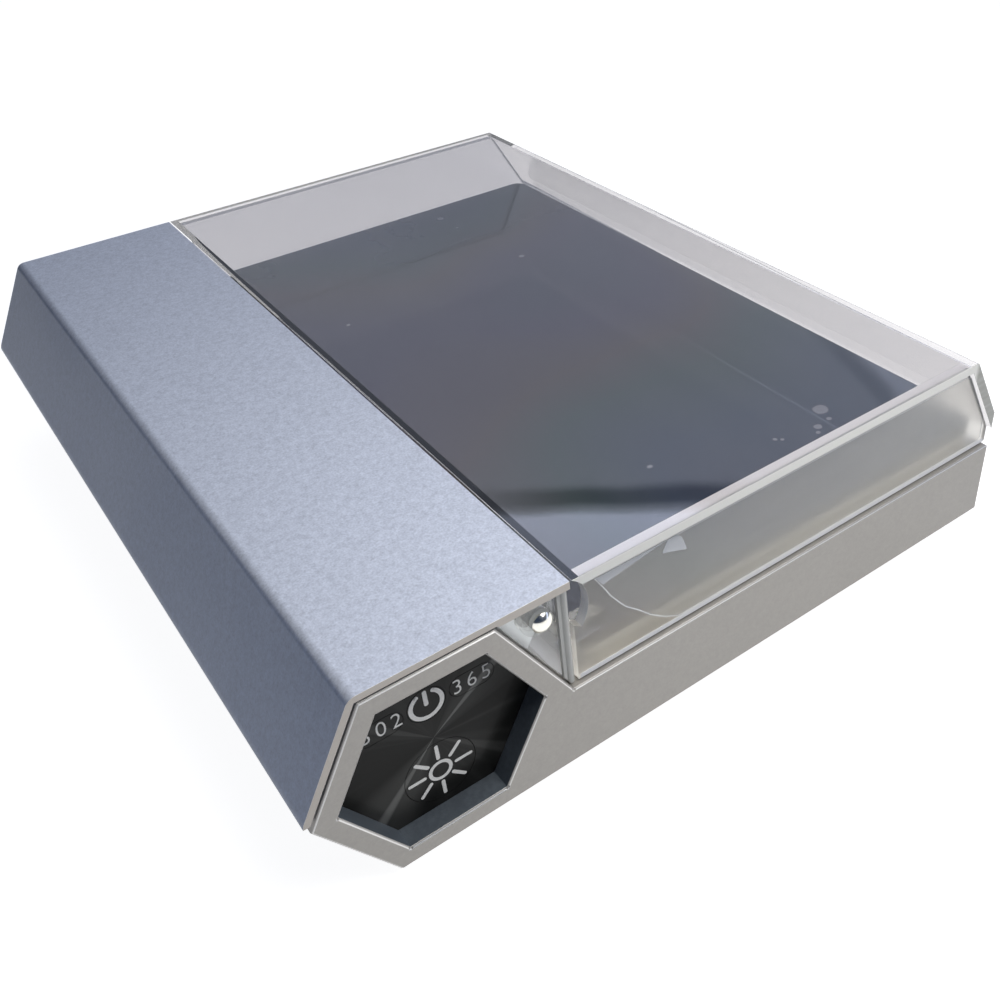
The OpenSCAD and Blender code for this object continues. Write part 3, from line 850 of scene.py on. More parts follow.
@dataclass(frozen=True)
class Moulded(Finish):
    """A plain moulded, painted or rubber surface with a fine texture of its own.

    Attributes:
        speckle: How far the colour swings to either side.
        texture: Cells per metre of the fine texture.
        strength: How much of the texture's height shows.
    """

    name: str
    tone: Colour
    rough: float
    speckle: float = 0.25
    texture: float = 900.0
    strength: float = 0.25
    broad_share: float = 1 / 12
    lift: float = 0.004
    colour_span: Span = (0.35, 0.65)
    gloss_span: Span = (0.3, 0.7)
    gloss_swing: float = 0.15
    depth: float = 0.05 * MM

    def surface(self, w: Wiring, place: Socket) -> Socket:
        """Makes soft mottling in the colour, the gloss and the height.

        Args:
            w: The material's wiring.
            place: Where the surface is.

        Returns:
            The shader.
        """
        pattern = w.noise(place, self.texture, detail=3.0, rough=0.6)
        broad = w.noise(place, self.texture * self.broad_share)
        mottle = w.math("MULTIPLY", w.math("ADD", pattern, broad), 0.5)
        low = scaled(self.tone, 1 - self.speckle)
        high = tuple(min(1.0, part * (1 + self.speckle) + self.lift) for part in self.tone)
        gloss = w.remap(mottle, *self.gloss_span, self.rough * (1 - self.gloss_swing),
                        min(1.0, self.rough * (1 + self.gloss_swing)))
        return self.principled(w, Base_Color=w.blend(w.remap(mottle, *self.colour_span), low, high),
                               Roughness=gloss, Normal=w.bump(pattern, self.strength, self.depth))


@dataclass(frozen=True)
class TurnedMetal(Finish):
    """Turned or ground metal, with fine lines around the hinge axis."""

    name: str
    tone: Colour
    rough: float
    line_stretch: Triple = (1.0, 6.0, 1.0)
    lines: float = 1800
    line_share: float = 0.4
    line_dark: float = 0.7
    rough_span: Span = (0.3, 0.7)
    rough_swing: Span = (0.8, 1.3)
    strength: float = 0.15
    depth: float = 0.02 * MM

    def surface(self, w: Wiring, place: Socket) -> Socket:
        """Makes bright metal with fine tool marks.

        Args:
            w: The material's wiring.
            place: Where the surface is.

        Returns:
            The shader.
        """
        lines = w.noise(w.vector("MULTIPLY", place, self.line_stretch), self.lines, rough=0.7)
        dark = scaled(self.tone, self.line_dark)
        colour = w.blend(w.math("MULTIPLY", lines, self.line_share), self.tone, dark)
        smooth, coarse = self.rough_swing
        rough = w.remap(lines, *self.rough_span, self.rough * smooth, self.rough * coarse)
        return self.principled(w, Base_Color=colour, Metallic=1.0, Roughness=rough,
                               Normal=w.bump(lines, self.strength, self.depth))


# ---------- making pieces ----------

SMOOTH_BELOW = math.radians(35.0)
NEARLY_FLAT = math.radians(0.5)
LOPSIDED_AREAS = 12
MERGE_WITHIN = 2e-6
DISSOLVE_BELOW = math.radians(0.6)
EASE_ABOVE = math.radians(34)


def place_mesh(name: str, bm: bmesh.types.BMesh, material: bpy.types.Material) -> bpy.types.Object:
    """Turns a finished bmesh into an object at the origin.

    Soft edges are shaded smooth, apart from those between a large face and a sliver.

    Args:
        name: The piece's name.
        bm: The mesh, in the model's frame. It is freed.
        material: What it is made of.

    Returns:
        The new object.
    """
    for face in bm.faces:
        face.smooth = True
    for edge in bm.edges:
        areas = sorted(face.calc_area() for face in edge.link_faces)
        turn = edge.calc_face_angle(math.pi)
        lopsided = len(areas) == 2 and areas[1] > LOPSIDED_AREAS * areas[0] and turn > NEARLY_FLAT
        edge.smooth = turn < SMOOTH_BELOW and not lopsided
    mesh = bpy.data.meshes.new(name)
    bm.to_mesh(mesh)
    bm.free()
    mesh.materials.append(material)
    obj = bpy.data.objects.new(name, mesh)
    bpy.context.scene.collection.objects.link(obj)
    return obj


def enlist(obj: bpy.types.Object, body: Body, slot: str) -> bpy.types.Object:
    """Makes a piece ride on its body, and logs it with its material slot.

    Args:
        obj: The piece.
        body: The body that it rides on.
        slot: Its material slot.

    Returns:
        The piece.
    """
    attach(obj, body.value)
    log.info("%s rides on %s as %s", obj.name, body.value, slot)
    return obj


def merged_copy(node: str) -> bmesh.types.BMesh:
    """Copies a CAD node as one clean surface with its flat faces whole.

    Args:
        node: The node's name.

    Returns:
        The copy.
    """
    bm = bmesh.new()
    bm.from_mesh(frame["nodes"][node].data)
    bmesh.ops.remove_doubles(bm, verts=bm.verts, dist=MERGE_WITHIN)
    bmesh.ops.dissolve_limit(bm, angle_limit=DISSOLVE_BELOW, verts=bm.verts, edges=bm.edges)
    return bm


def thicken(bm: bmesh.types.BMesh, by: Triple) -> None:
    """Gives a flat drawing its thickness.

    Args:
        bm: The drawing.
        by: How far its second side lies from its first.
    """
    made = bmesh.ops.extrude_face_region(bm, geom=bm.faces[:])["geom"]
    lifted = [v for v in made if isinstance(v, bmesh.types.BMVert)]
    bmesh.ops.translate(bm, verts=lifted, vec=by)
    bmesh.ops.recalc_face_normals(bm, faces=bm.faces)


def slot_of(node: str) -> str:
    """Looks up the material slot that the record gives a node.

    Args:
        node: The node's name.

    Returns:
        The slot's name.
    """
    for part in frame["record"]["subparts"]:
        if part["node"] == node:
            return part["material_slot"]
    raise KeyError(node)


@dataclass
class EasedPiece:
    """A CAD node's own shape with its sharp edges eased, standing for the node.

    Attributes:
        node: The node's name.
        body: The body that it rides on.
        finish: What it is made of.
        ease: Width of the eased edges.
        segments: Steps across an eased edge.
        change: A last change to the shape.
        faces: Tests on a face's middle and normal, and the finish of the faces that pass.
    """

    node: str
    body: Body
    finish: Finish
    ease: float
    segments: int = 2
    change: Callable[[bmesh.types.BMesh], None] | None = None
    faces: tuple[tuple[Callable[[Vector, Vector], bool], Finish], ...] = ()

    def build(self) -> None:
        """Builds the piece and hides the node that it stands for."""
        bm = merged_copy(self.node)
        if self.change:
            self.change(bm)
        for index, (chosen, _) in enumerate(self.faces, start=1):
            for face in bm.faces:
                if chosen(face.calc_center_median(), face.normal):
                    face.material_index = index
        obj = place_mesh(f"{self.node}_shape", bm, self.finish.build())
        for _, finish in self.faces:
            obj.data.materials.append(finish.build())
        if self.ease:
            self._ease(obj)
        enlist(obj, self.body, slot_of(self.node))
        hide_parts(self.node)

    def _ease(self, obj: bpy.types.Object) -> None:
        """Rounds the sharp edges of a piece.

        Args:
            obj: The piece.
        """
        bevel = obj.modifiers.new("eased_edges", "BEVEL")
        bevel.width = self.ease
        bevel.segments = self.segments
        bevel.limit_method = "ANGLE"
        bevel.angle_limit = EASE_ABOVE
        bevel.harden_normals = True
        bevel.use_clamp_overlap = True


def dress(node: str, finish: Finish) -> None:
    """Gives a CAD node that keeps its own mesh a better material.

    Args:
        node: The node's name.
        finish: What it is made of.
    """
    obj = frame["nodes"][node]
    material = finish.build()
    for slot in obj.material_slots:
        slot.material = material
    log.info("%s keeps its mesh and gets %s", node, finish.name)


# ---------- finishes ----------

HEX_LOW, HEX_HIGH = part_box("control_panel")
PANEL_CENTRE = ((HEX_LOW.x + HEX_HIGH.x) / 2, HEX_LOW.y, (HEX_LOW.z + HEX_HIGH.z) / 2)

# where along X the cover bends down, and where the side plate's strut begins
BEND_X = 0.0951
STRUT_X = -0.0434

# the spine's side that looks away from the cover gets a darker, bluer painted shade
SPINE_METAL = BlastedMetal("spine_blue_grey", (0.585, 0.61, 0.67), contrast=1.0, strength=0.6,
                           metallic=0.25, painted_flank_shade=(0.48, 0.54, 0.66))
SHEET_EDGE = BlastedMetal("sheet_edge_beige", (0.52, 0.48, 0.43), contrast=0.15, strength=0.2, metallic=0.3)
# the frame's chamfers get their full painted highlight only on its outer faces
FRAME_METAL = BlastedMetal("end_frame_beige", (0.37, 0.352, 0.325), contrast=0.3, strength=0.25,
                           bright_from=0.1248)
RECESS = Moulded("recess_slate", (0.085, 0.10, 0.115), rough=0.35, speckle=0.15)
DECK_METAL = BlastedMetal("deck_light", (0.56, 0.56, 0.56), contrast=0.1, strength=0.15)
RIM_METAL = BlastedMetal("rim_light", (0.66, 0.66, 0.62), contrast=0.1, strength=0.15, metallic=0.3)
PAN_METAL = BlastedMetal("pan_dark", (0.25, 0.28, 0.34), contrast=0.2, strength=0.3)
PLAIN_METAL = BlastedMetal("plain_aluminium", (0.60, 0.61, 0.63), contrast=0.1, strength=0.2, metallic=0.9)
COVER_CLEAR = ClearPlastic("cover_clear", (0.83, 0.81, 0.80), rough=0.01)
FRONT_CHEEK = ClearPlastic("cheek_front_hazy", (0.90, 0.875, 0.82), rough=0.34, haze=0.2)
REAR_CHEEK = ClearPlastic("cheek_rear_hazy", (0.66, 0.65, 0.665), rough=0.14, haze=0.2)
PLATE_CLEAR = ClearPlastic("side_plate_clear", (0.95, 0.96, 0.95), rough=0.03)
ARM_CLEAR = ClearPlastic("arm_clear", (0.97, 0.97, 0.96), rough=0.05, ghost=0.7)
# the sawn and polished edges are pale with painted light, for the light that runs inside the acrylic and
# comes out there
EDGE_CREAM = SawnAcrylic("sawn_edge_painted_light", bend_x=BEND_X)
EDGE_WHITE = SawnAcrylic("polished_edge_painted_light", (0.98, 0.98, 0.98))
STRUT = SawnAcrylic("strut_milky", (0.50, 0.50, 0.465))
FILM = ThinFilm("protective_film")
# the film's white rim and the pale bluish flaps are painted highlights where the film's edges catch the light
FILM_RIM = ThinFilm("protective_film_rim_highlight", (1.0, 1.0, 0.98), milk=0.9)
FILM_FLAP = ThinFilm("protective_film_flap_highlight", (0.95, 0.97, 1.0), milk=0.38)
# a white strip that is a painted highlight of the front cheek's bottom edge
FOOT_HIGHLIGHT = ThinFilm("cheek_foot_highlight", WHITE, milk=0.85)
GLASS = FilterGlass("filter_glass_dark", spots=(
    (0.0723, -0.0901, 0.0027), (0.0708, -0.0951, 0.0010), (0.0654, -0.0959, 0.0014),
    (0.0633, -0.0981, 0.0009), (0.0516, -0.0926, 0.0009), (0.0531, -0.0939, 0.0007),
    (0.0165, -0.0796, 0.0008), (0.0579, 0.1081, 0.0014), (0.0586, 0.0957, 0.0008),
    (0.0636, 0.0566, 0.0012), (-0.0109, 0.0511, 0.0009)))
PANEL_BLACK = SpunPanel("panel_spun_black", PANEL_CENTRE)
PRINT = Moulded("print_grey_white", (0.94, 0.92, 0.86), rough=0.45, speckle=0.06, texture=2500)
PIN_STEEL = TurnedMetal("pin_polished", (0.90, 0.88, 0.80), rough=0.16)
SCREW_STEEL = TurnedMetal("screw_dark", (0.35, 0.36, 0.38), rough=0.3)
BRIGHT_SHEET = TurnedMetal("reflector_bright", (0.88, 0.89, 0.90), rough=0.12)
CONTACT = TurnedMetal("contact_nickel", (0.80, 0.77, 0.68), rough=0.2)
RUBBER = Moulded("foot_black", (0.028, 0.028, 0.03), rough=0.8, texture=700, strength=0.6)
SEAL = Moulded("seal_black", (0.02, 0.02, 0.02), rough=0.7)
BOARD = Moulded("board_green", (0.03, 0.16, 0.08), rough=0.35)
WHITE_BOARD = Moulded("board_white", (0.80, 0.80, 0.77), rough=0.35, speckle=0.05)
DARK_PARTS = Moulded("component_dark", (0.05, 0.05, 0.055), rough=0.45)
LED_CLEAR = Moulded("led_lens", (0.75, 0.79, 0.92), rough=0.12, speckle=0.05)
MILKY = Moulded("diffuser_milky", (0.86, 0.87, 0.88), rough=0.4, speckle=0.03)
RIBBON = Moulded("ribbon_grey", (0.66, 0.66, 0.63), rough=0.4, speckle=0.1)
INLET = Moulded("inlet_black", (0.03, 0.03, 0.032), rough=0.4)
NYLON = Moulded("bush_nylon", (0.84, 0.83, 0.78), rough=0.4, speckle=0.05)
WASHER = Moulded("washer_dark", (0.06, 0.06, 0.06), rough=0.6)


# ---------- sub-assemblies ----------

# limits on the size of a normal's Y: an end face, a plate's border and the lining of a frame's window
END_ABOVE = 0.9
BORDER_BELOW = 0.5
LINING_BELOW = 0.3
# the hinge's swing cut lies before this X, and a window's lining within this reach of its middle
SWING_CUT_X = -0.0385
LINING_REACH = 0.0232


def faces_end(_: Vector, normal: Vector) -> bool:
    """Whether a face looks along the hinge axis, towards either end."""
    return abs(normal.y) > END_ABOVE


def is_border(centre: Vector, normal: Vector) -> bool:
    """Whether a face belongs to a plate's border, away from the hinge's swing cut."""
    return abs(normal.y) < BORDER_BELOW and centre.x > SWING_CUT_X


def is_plate_border(_: Vector, normal: Vector) -> bool:
    """Whether a face is on the border of a plate that stands across the hinge axis."""
    return abs(normal.y) < BORDER_BELOW


def is_strut(centre: Vector, _: Vector) -> bool:
    """Whether a face belongs to the milky strip along the side plate's free edge."""
    return centre.x > STRUT_X


def is_recess(centre: Vector, normal: Vector) -> bool:
    """Whether a frame's face lines its hexagonal window."""
    reach = math.hypot(centre.x - PANEL_CENTRE[0], centre.z - PANEL_CENTRE[2])
    return abs(normal.y) < LINING_BELOW and reach < LINING_REACH


def split_at_strut(bm: bmesh.types.BMesh) -> None:
    """Cuts the side plate's large faces where its strut begins.

    Args:
        bm: The side plate.
    """
    everything = bm.verts[:] + bm.edges[:] + bm.faces[:]
    bmesh.ops.bisect_plane(bm, geom=everything, plane_co=(STRUT_X, 0.0, 0.0), plane_no=(1.0, 0.0, 0.0))


@dataclass
class Housing:
    """The metal body: spine, end frames, deck, pan, feet and screws."""

    edge: float = 0.12 * MM
    spine_edge: float = 0.2 * MM
    foot_edge: float = 0.4 * MM

    def build(self) -> None:
        """Builds and dresses every piece of the body."""
        for node in ("front_frame", "rear_frame"):
            EasedPiece(node, Body.BASE, FRAME_METAL, self.edge, faces=((is_recess, RECESS),)).build()
        EasedPiece("spine_cover", Body.BASE, SPINE_METAL, self.spine_edge, segments=3,
                   faces=((faces_end, SHEET_EDGE),)).build()
        EasedPiece("deck_sheet", Body.BASE, DECK_METAL, self.edge).build()
        EasedPiece("base_pan", Body.BASE, PAN_METAL, self.edge).build()
        EasedPiece("rubber_feet", Body.BASE, RUBBER, self.foot_edge, segments=3).build()
        dress("frame_screws", SCREW_STEEL)


@dataclass
class Platform:
    """The glass stage and the light box under it."""

    edge: float = 0.3 * MM

    def build(self) -> None:
        """Builds the rim and glass, and dresses the sealed stack."""
        EasedPiece("platform_rim", Body.BASE, RIM_METAL, self.edge).build()
        EasedPiece("filter_glass", Body.BASE, GLASS, self.edge, segments=3).build()
        dress("glass_gasket", SEAL)
        dress("diffuser_plate", MILKY)
        dress("reflector_tray", BRIGHT_SHEET)
        dress("led_board", WHITE_BOARD)
        dress("leds_302", LED_CLEAR)
        dress("leds_365", LED_CLEAR)
        dress("heat_spreader", PLAIN_METAL)


@dataclass
class Hinge:
    """Side plates, blocks, pins, bushes and washers at both ends."""

    edge: float = 0.12 * MM

    def build(self) -> None:
        """Builds both hinge ends. The pins stay as they are, because their heads are round."""
        for end in ("front", "rear"):
            EasedPiece(f"{end}_side_plate", Body.BASE, PLATE_CLEAR, self.edge, change=split_at_strut,
                       faces=((is_strut, STRUT), (is_plate_border, EDGE_CREAM))).build()
            EasedPiece(f"{end}_hinge_block", Body.BASE, PLAIN_METAL, self.edge).build()
            EasedPiece(f"{end}_hinge_pin", Body.BASE, PIN_STEEL, 0.0).build()
        dress("friction_washers", WASHER)
        dress("hinge_bushes", NYLON)


@dataclass
class Cover:
    """The bent clear cover with its cheeks, its arms and the film left on its front cheek.

    Outlines and the sizes of the painted highlight at the cheek's foot are in millimetres, along X and Z.

    Attributes:
        edge: Width of the eased edges.
        glue_gap: Gap between a cheek and the sheet.
        far_x: Past this X a cheek's points lie against the bent end of the sheet.
        film_t: The film's thickness.
        film_gap: Gap between the film and the cheek.
        film_rim: Width of the film's rim, painted white as a highlight.
        film_outline: The film's corners.
        flap_outlines: The corners of its two loose flaps, starting at their crease.
        flap_lean: How far the flaps are turned about their creases, in degrees.
        foot_band: Bottom and top of the white strip at the cheek's foot, a painted highlight of its bottom
            edge.
        foot_start: How far inside the cheek the line starts.
        foot_end: How far inside the cheek its long edges end.
        foot_tip: How far inside the cheek its tip is.
    """

    edge: float = 0.1 * MM
    glue_gap: float = 0.06 * MM
    far_x: float = 0.09
    film_t: float = 0.06 * MM
    film_gap: float = 0.05 * MM
    film_rim: float = 0.28 * MM
    film_outline: tuple[Span, ...] = (
        (-33.7, 53.9), (-31.5, 50.0), (-29.5, 46.1), (-25.8, 40.8), (-21.6, 36.9), (-18.7, 33.8),
        (-14.2, 30.3), (-10.0, 28.2), (103.9, 28.2), (104.7, 29.0), (104.5, 36.4), (96.2, 51.2),
        (95.0, 53.2), (93.0, 53.9))
    flap_outlines: tuple[tuple[Span, ...], ...] = (
        ((-33.4, 53.9), (-31.6, 51.2), (-13.0, 53.9)),
        ((-13.0, 53.9), (-14.8, 50.9), (-7.6, 48.4), (-8.8, 52.4), (-10.4, 53.9)))
    flap_lean: float = -4.0
    foot_band: Span = (26.6, 27.9)
    foot_start: float = 0.5
    foot_end: float = 1.2
    foot_tip: float = 0.8

    def build(self) -> None:
        """Builds the cover's clear pieces and the film."""
        EasedPiece("cover_sheet", Body.COVER, COVER_CLEAR, self.edge,
                   faces=((faces_end, EDGE_CREAM),)).build()
        for end, finish in (("front", FRONT_CHEEK), ("rear", REAR_CHEEK)):
            EasedPiece(f"{end}_cheek", Body.COVER, finish, self.edge, change=self._open_glue_line,
                       faces=((is_border, EDGE_WHITE),)).build()
            EasedPiece(f"{end}_arm", Body.COVER, ARM_CLEAR, self.edge).build()
        self._leaf("cheek_film", self.film_outline, FILM, rim=FILM_RIM)
        for index, outline in enumerate(self.flap_outlines):
            self._leaf(f"cheek_film_flap_{index}", outline, FILM_FLAP, lean=self.flap_lean)
        self._foot_highlight()

    def _foot_highlight(self) -> None:
        """Lays a white strip at the front cheek's foot, a painted highlight of its bottom edge."""
        low, high = self.foot_band
        start, end = (side.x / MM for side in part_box("front_cheek"))
        start, tip, end = start + self.foot_start, end - self.foot_tip, end - self.foot_end
        outline = ((start, low), (end, low), (tip, (low + high) / 2), (end, high), (start, high))
        self._leaf("cheek_foot_highlight", outline, FOOT_HIGHLIGHT)

    def _leaf(self, name: str, outline: Sequence[Span], finish: Finish, lean: float = 0.0,
              rim: Finish | None = None) -> None:
        """Lays a thin leaf on the front cheek's face.

        Args:
            name: The piece's name.
            outline: Its corners.
            finish: What it is made of.
            lean: How far it is turned about its top, in degrees.
            rim: What its border is made of, if that differs.
        """
        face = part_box("front_cheek")[0].y - self.film_gap
        bm = bmesh.new()
        sheet = bm.faces.new([bm.verts.new((x * MM, face, z * MM)) for x, z in outline])
        bm.normal_update()
        if rim:
            inset = bmesh.ops.inset_region(bm, faces=[sheet], thickness=self.film_rim, use_boundary=True)
            for part in inset["faces"]:
                part.material_index = 1
        thicken(bm, (0.0, -self.film_t, 0.0))
        crease = Vector((0.0, face, outline[0][1] * MM))
        turn = Matrix.Rotation(math.radians(lean), 3, "X")
        bmesh.ops.rotate(bm, verts=bm.verts, cent=crease, matrix=turn)
        piece = place_mesh(name, bm, finish.build())
        if rim:
            piece.data.materials.append(rim.build())
        enlist(piece, Body.COVER, slot_of("front_cheek"))

    def _open_glue_line(self, bm: bmesh.types.BMesh) -> None:
        """Leaves the glue line open between a cheek and the sheet.

        Args:
            bm: The cheek.
        """
        low = min(v.co.z for v in bm.verts)
        high = max(v.co.z for v in bm.verts)
        scale = (high - low - self.glue_gap) / (high - low)
        for v in bm.verts:
            v.co.z = low + (v.co.z - low) * scale
            v.co.x -= self.glue_gap * (v.co.x > self.far_x)


@dataclass
class Symbol:
    """A flat printed mark in the middle of a key's face.

    Attributes:
        name: The piece's name.
        body: The key that carries it.
        thickness: The print's thickness.
        front: Where along Y the key's face is.
        merge_within: Points nearer than this are one, in millimetres.
    """

    name: str
    body: Body
    thickness: float = 0.03 * MM
    front: float = PANEL_CENTRE[1]
    merge_within: float = 1e-4

    def build(self, bm: bmesh.types.BMesh) -> None:
        """Stands the flat drawing up on the key.

        Args:
            bm: The drawing in millimetres, in the XY plane around the key's middle.
        """
        bmesh.ops.remove_doubles(bm, verts=bm.verts, dist=self.merge_within)
        thicken(bm, (0.0, 0.0, self.thickness / MM))
        low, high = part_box(self.body.value)
        stand = Matrix.Translation(((low.x + high.x) / 2, self.front, (low.z + high.z) / 2))
        bm.transform(stand @ Matrix.Rotation(math.pi / 2, 4, "X") @ Matrix.Scale(MM, 4))
        enlist(place_mesh(self.name, bm, PRINT.build()), self.body, slot_of(self.body.value))


ROUND_END_STEPS = 16
ON_AXIS = 1e-6


def ring_sector(bm: bmesh.types.BMesh, inner: float, outer: float, start: float, end: float,
                steps: int) -> None:
    """Sweeps a flat band around the middle.

    Args:
        bm: The drawing that it is added to.
        inner: Inner radius.
        outer: Outer radius.
        start: First angle in radians.
        end: Last angle in radians.
        steps: Number of steps.
    """
    ends = [bm.verts.new((r * math.cos(start), r * math.sin(start), 0)) for r in (inner, outer)]
    edge = bm.edges.new(ends)
    bmesh.ops.spin(bm, geom=[*ends, edge], cent=(0, 0, 0), axis=(0, 0, 1), dvec=(0, 0, 0),
                   angle=end - start, steps=steps, use_merge=False, use_duplicate=False)


def bar(bm: bmesh.types.BMesh, start: float, end: float, width: float, angle: float) -> None:
    """Adds a flat bar with round ends that runs outwards at an angle.

    Args:
        bm: The drawing that it is added to.
        start: Distance of its inner end from the middle.
        end: Distance of its outer end.
        width: Its width.
        angle: Its direction in radians.
    """
    disc = bmesh.ops.create_circle(bm, cap_ends=True, radius=width / 2, segments=ROUND_END_STEPS)["verts"]
    far = [v for v in disc if v.co.x > ON_AXIS]
    near = [v for v in disc if v.co.x <= ON_AXIS]
    bmesh.ops.translate(bm, verts=far, vec=(end - width / 2, 0, 0))
    bmesh.ops.translate(bm, verts=near, vec=(start + width / 2, 0, 0))
    bmesh.ops.rotate(bm, verts=disc, cent=(0, 0, 0), matrix=Matrix.Rotation(angle, 3, "Z"))


@dataclass
class Controls:
    """The panel, its four keys and their printed symbols, and the rear panel and inlet.

    The symbols' sizes are in millimetres.

    Attributes:
        key_edge: Width of the eased edges of panels and keys.
        inlet_edge: The same for the inlet.
        power_radius: Outer radius of the power symbol's ring.
        power_gap: Half of the ring's gap, in degrees.
        power_bar: Where the power symbol's bar starts and ends.
        power_steps: Steps around the ring.
        stroke: Line width of the power symbol.
        sun_radius: Outer radius of the sun's ring.
        sun_stroke: Line width of that ring.
        sun_steps: Steps around it.
        rays: Number of rays.
        ray_span: Where a ray starts and ends.
        ray_width: Its width.
        digit_size: Height that the typeface is set to.
        digit_pitch: Distance from digit to digit.
        digit_squeeze: The digits' width as a share of the typeface's.
        digit_offset: How far the outlines are moved outwards.
        digit_steps: Points on each curve of an outline.
        shift_302: How far the digits 302 stand to the right of their key's middle.
    """

    key_edge: float = 0.02 * MM
    inlet_edge: float = 0.15 * MM
    power_radius: float = 4.25
    power_gap: float = 32.0
    power_bar: Span = (-0.35, 4.15)
    power_steps: int = 40
    stroke: float = 1.05
    sun_radius: float = 3.0
    sun_stroke: float = 0.9
    sun_steps: int = 36
    rays: int = 8
    ray_span: Span = (3.55, 8.15)
    ray_width: float = 0.95
    digit_size: float = 4.3 * 1.38
    digit_pitch: float = 3.57
    digit_squeeze: float = 0.9
    digit_offset: float = -0.05
    digit_steps: int = 6
    shift_302: float = 0.5

    def build(self) -> None:
        """Builds the panels and keys and prints their symbols."""
        EasedPiece("control_panel", Body.BASE, PANEL_BLACK, self.key_edge, segments=1).build()
        EasedPiece("rear_panel", Body.BASE, PANEL_BLACK, self.key_edge, segments=1).build()
        for body in (Body.POWER, Body.KEY_302, Body.KEY_365, Body.BRIGHTNESS):
            EasedPiece(body.value, body, PANEL_BLACK, self.key_edge, segments=1).build()
        EasedPiece("dc_inlet", Body.BASE, INLET, self.inlet_edge).build()
        dress("inlet_contact", CONTACT)
        dress("control_board", BOARD)
        dress("key_switches", PLAIN_METAL)
        dress("ribbon_cable", RIBBON)
        dress("driver_board", BOARD)
        dress("driver_parts", DARK_PARTS)
        self._power()
        self._sun()
        self._digits("302", Body.KEY_302, self.shift_302)
        self._digits("365", Body.KEY_365)

    def _power(self) -> None:
        """Prints the ring with a gap and a bar at the top."""
        bm = bmesh.new()
        top, gap = math.pi / 2, math.radians(self.power_gap)
        middle = self.power_radius - self.stroke / 2
        ring_sector(bm, self.power_radius - self.stroke, self.power_radius, top + gap, top + math.tau - gap,
                    self.power_steps)
        for angle in (top - gap, top + gap):
            cap = bmesh.ops.create_circle(bm, cap_ends=True, radius=self.stroke / 2, segments=ROUND_END_STEPS)
            end = (middle * math.cos(angle), middle * math.sin(angle), 0)
            bmesh.ops.translate(bm, verts=cap["verts"], vec=end)
        bar(bm, *self.power_bar, self.stroke, top)
        Symbol("symbol_power", Body.POWER).build(bm)

    def _sun(self) -> None:
        """Prints a small ring with rays around it."""
        bm = bmesh.new()
        ring_sector(bm, self.sun_radius - self.sun_stroke, self.sun_radius, 0.0, math.tau, self.sun_steps)
        for ray in range(self.rays):
            bar(bm, *self.ray_span, self.ray_width, ray * math.tau / self.rays)
        Symbol("symbol_brightness", Body.BRIGHTNESS).build(bm)

    def _digits(self, text: str, body: Body, shift: float = 0.0) -> None:
        """Prints a wavelength on its key.

        Args:
            text: The three digits.
            body: The key that carries them.
            shift: How far to the right of the key's middle they stand.
        """
        name = f"digits_{text}"
        bm = bmesh.new()
        for place, digit in enumerate(text):
            curve = bpy.data.curves.new(f"{name}_{place}", "FONT")
            curve.body = digit
            curve.align_x = "CENTER"
            curve.align_y = "CENTER"
            curve.size = self.digit_size
            curve.offset = self.digit_offset
            curve.resolution_u = self.digit_steps
            letter = bpy.data.objects.new(curve.name, curve)
            mesh = bpy.data.meshes.new_from_object(letter)
            stand = Matrix.Translation(((place - 1) * self.digit_pitch + shift, 0, 0))
            mesh.transform(stand @ Matrix.Scale(self.digit_squeeze, 4, (1, 0, 0)))
            bm.from_mesh(mesh)
            bpy.data.objects.remove(letter)
            bpy.data.curves.remove(curve)
            bpy.data.meshes.remove(mesh)
        Symbol(name, body).build(bm)


# ---------- studio ----------


@dataclass
class Softbox:
    """A square lamp that looks at a point."""

    name: str
    at: Triple
    target: Triple
    size: float
    power: float
    tone: Colour = WHITE

    def build(self) -> None:
        """Hangs the lamp."""
        lamp = bpy.data.lights.new(self.name, "AREA")
        lamp.shape = "SQUARE"
        lamp.size = self.size
        lamp.energy = self.power
        lamp.color = self.tone
        obj = bpy.data.objects.new(self.name, lamp)
        aim = Vector(self.target) - Vector(self.at)
        obj.matrix_world = Matrix.Translation(self.at) @ aim.to_track_quat("-Z", "Y").to_matrix().to_4x4()
        bpy.context.scene.collection.objects.link(obj)


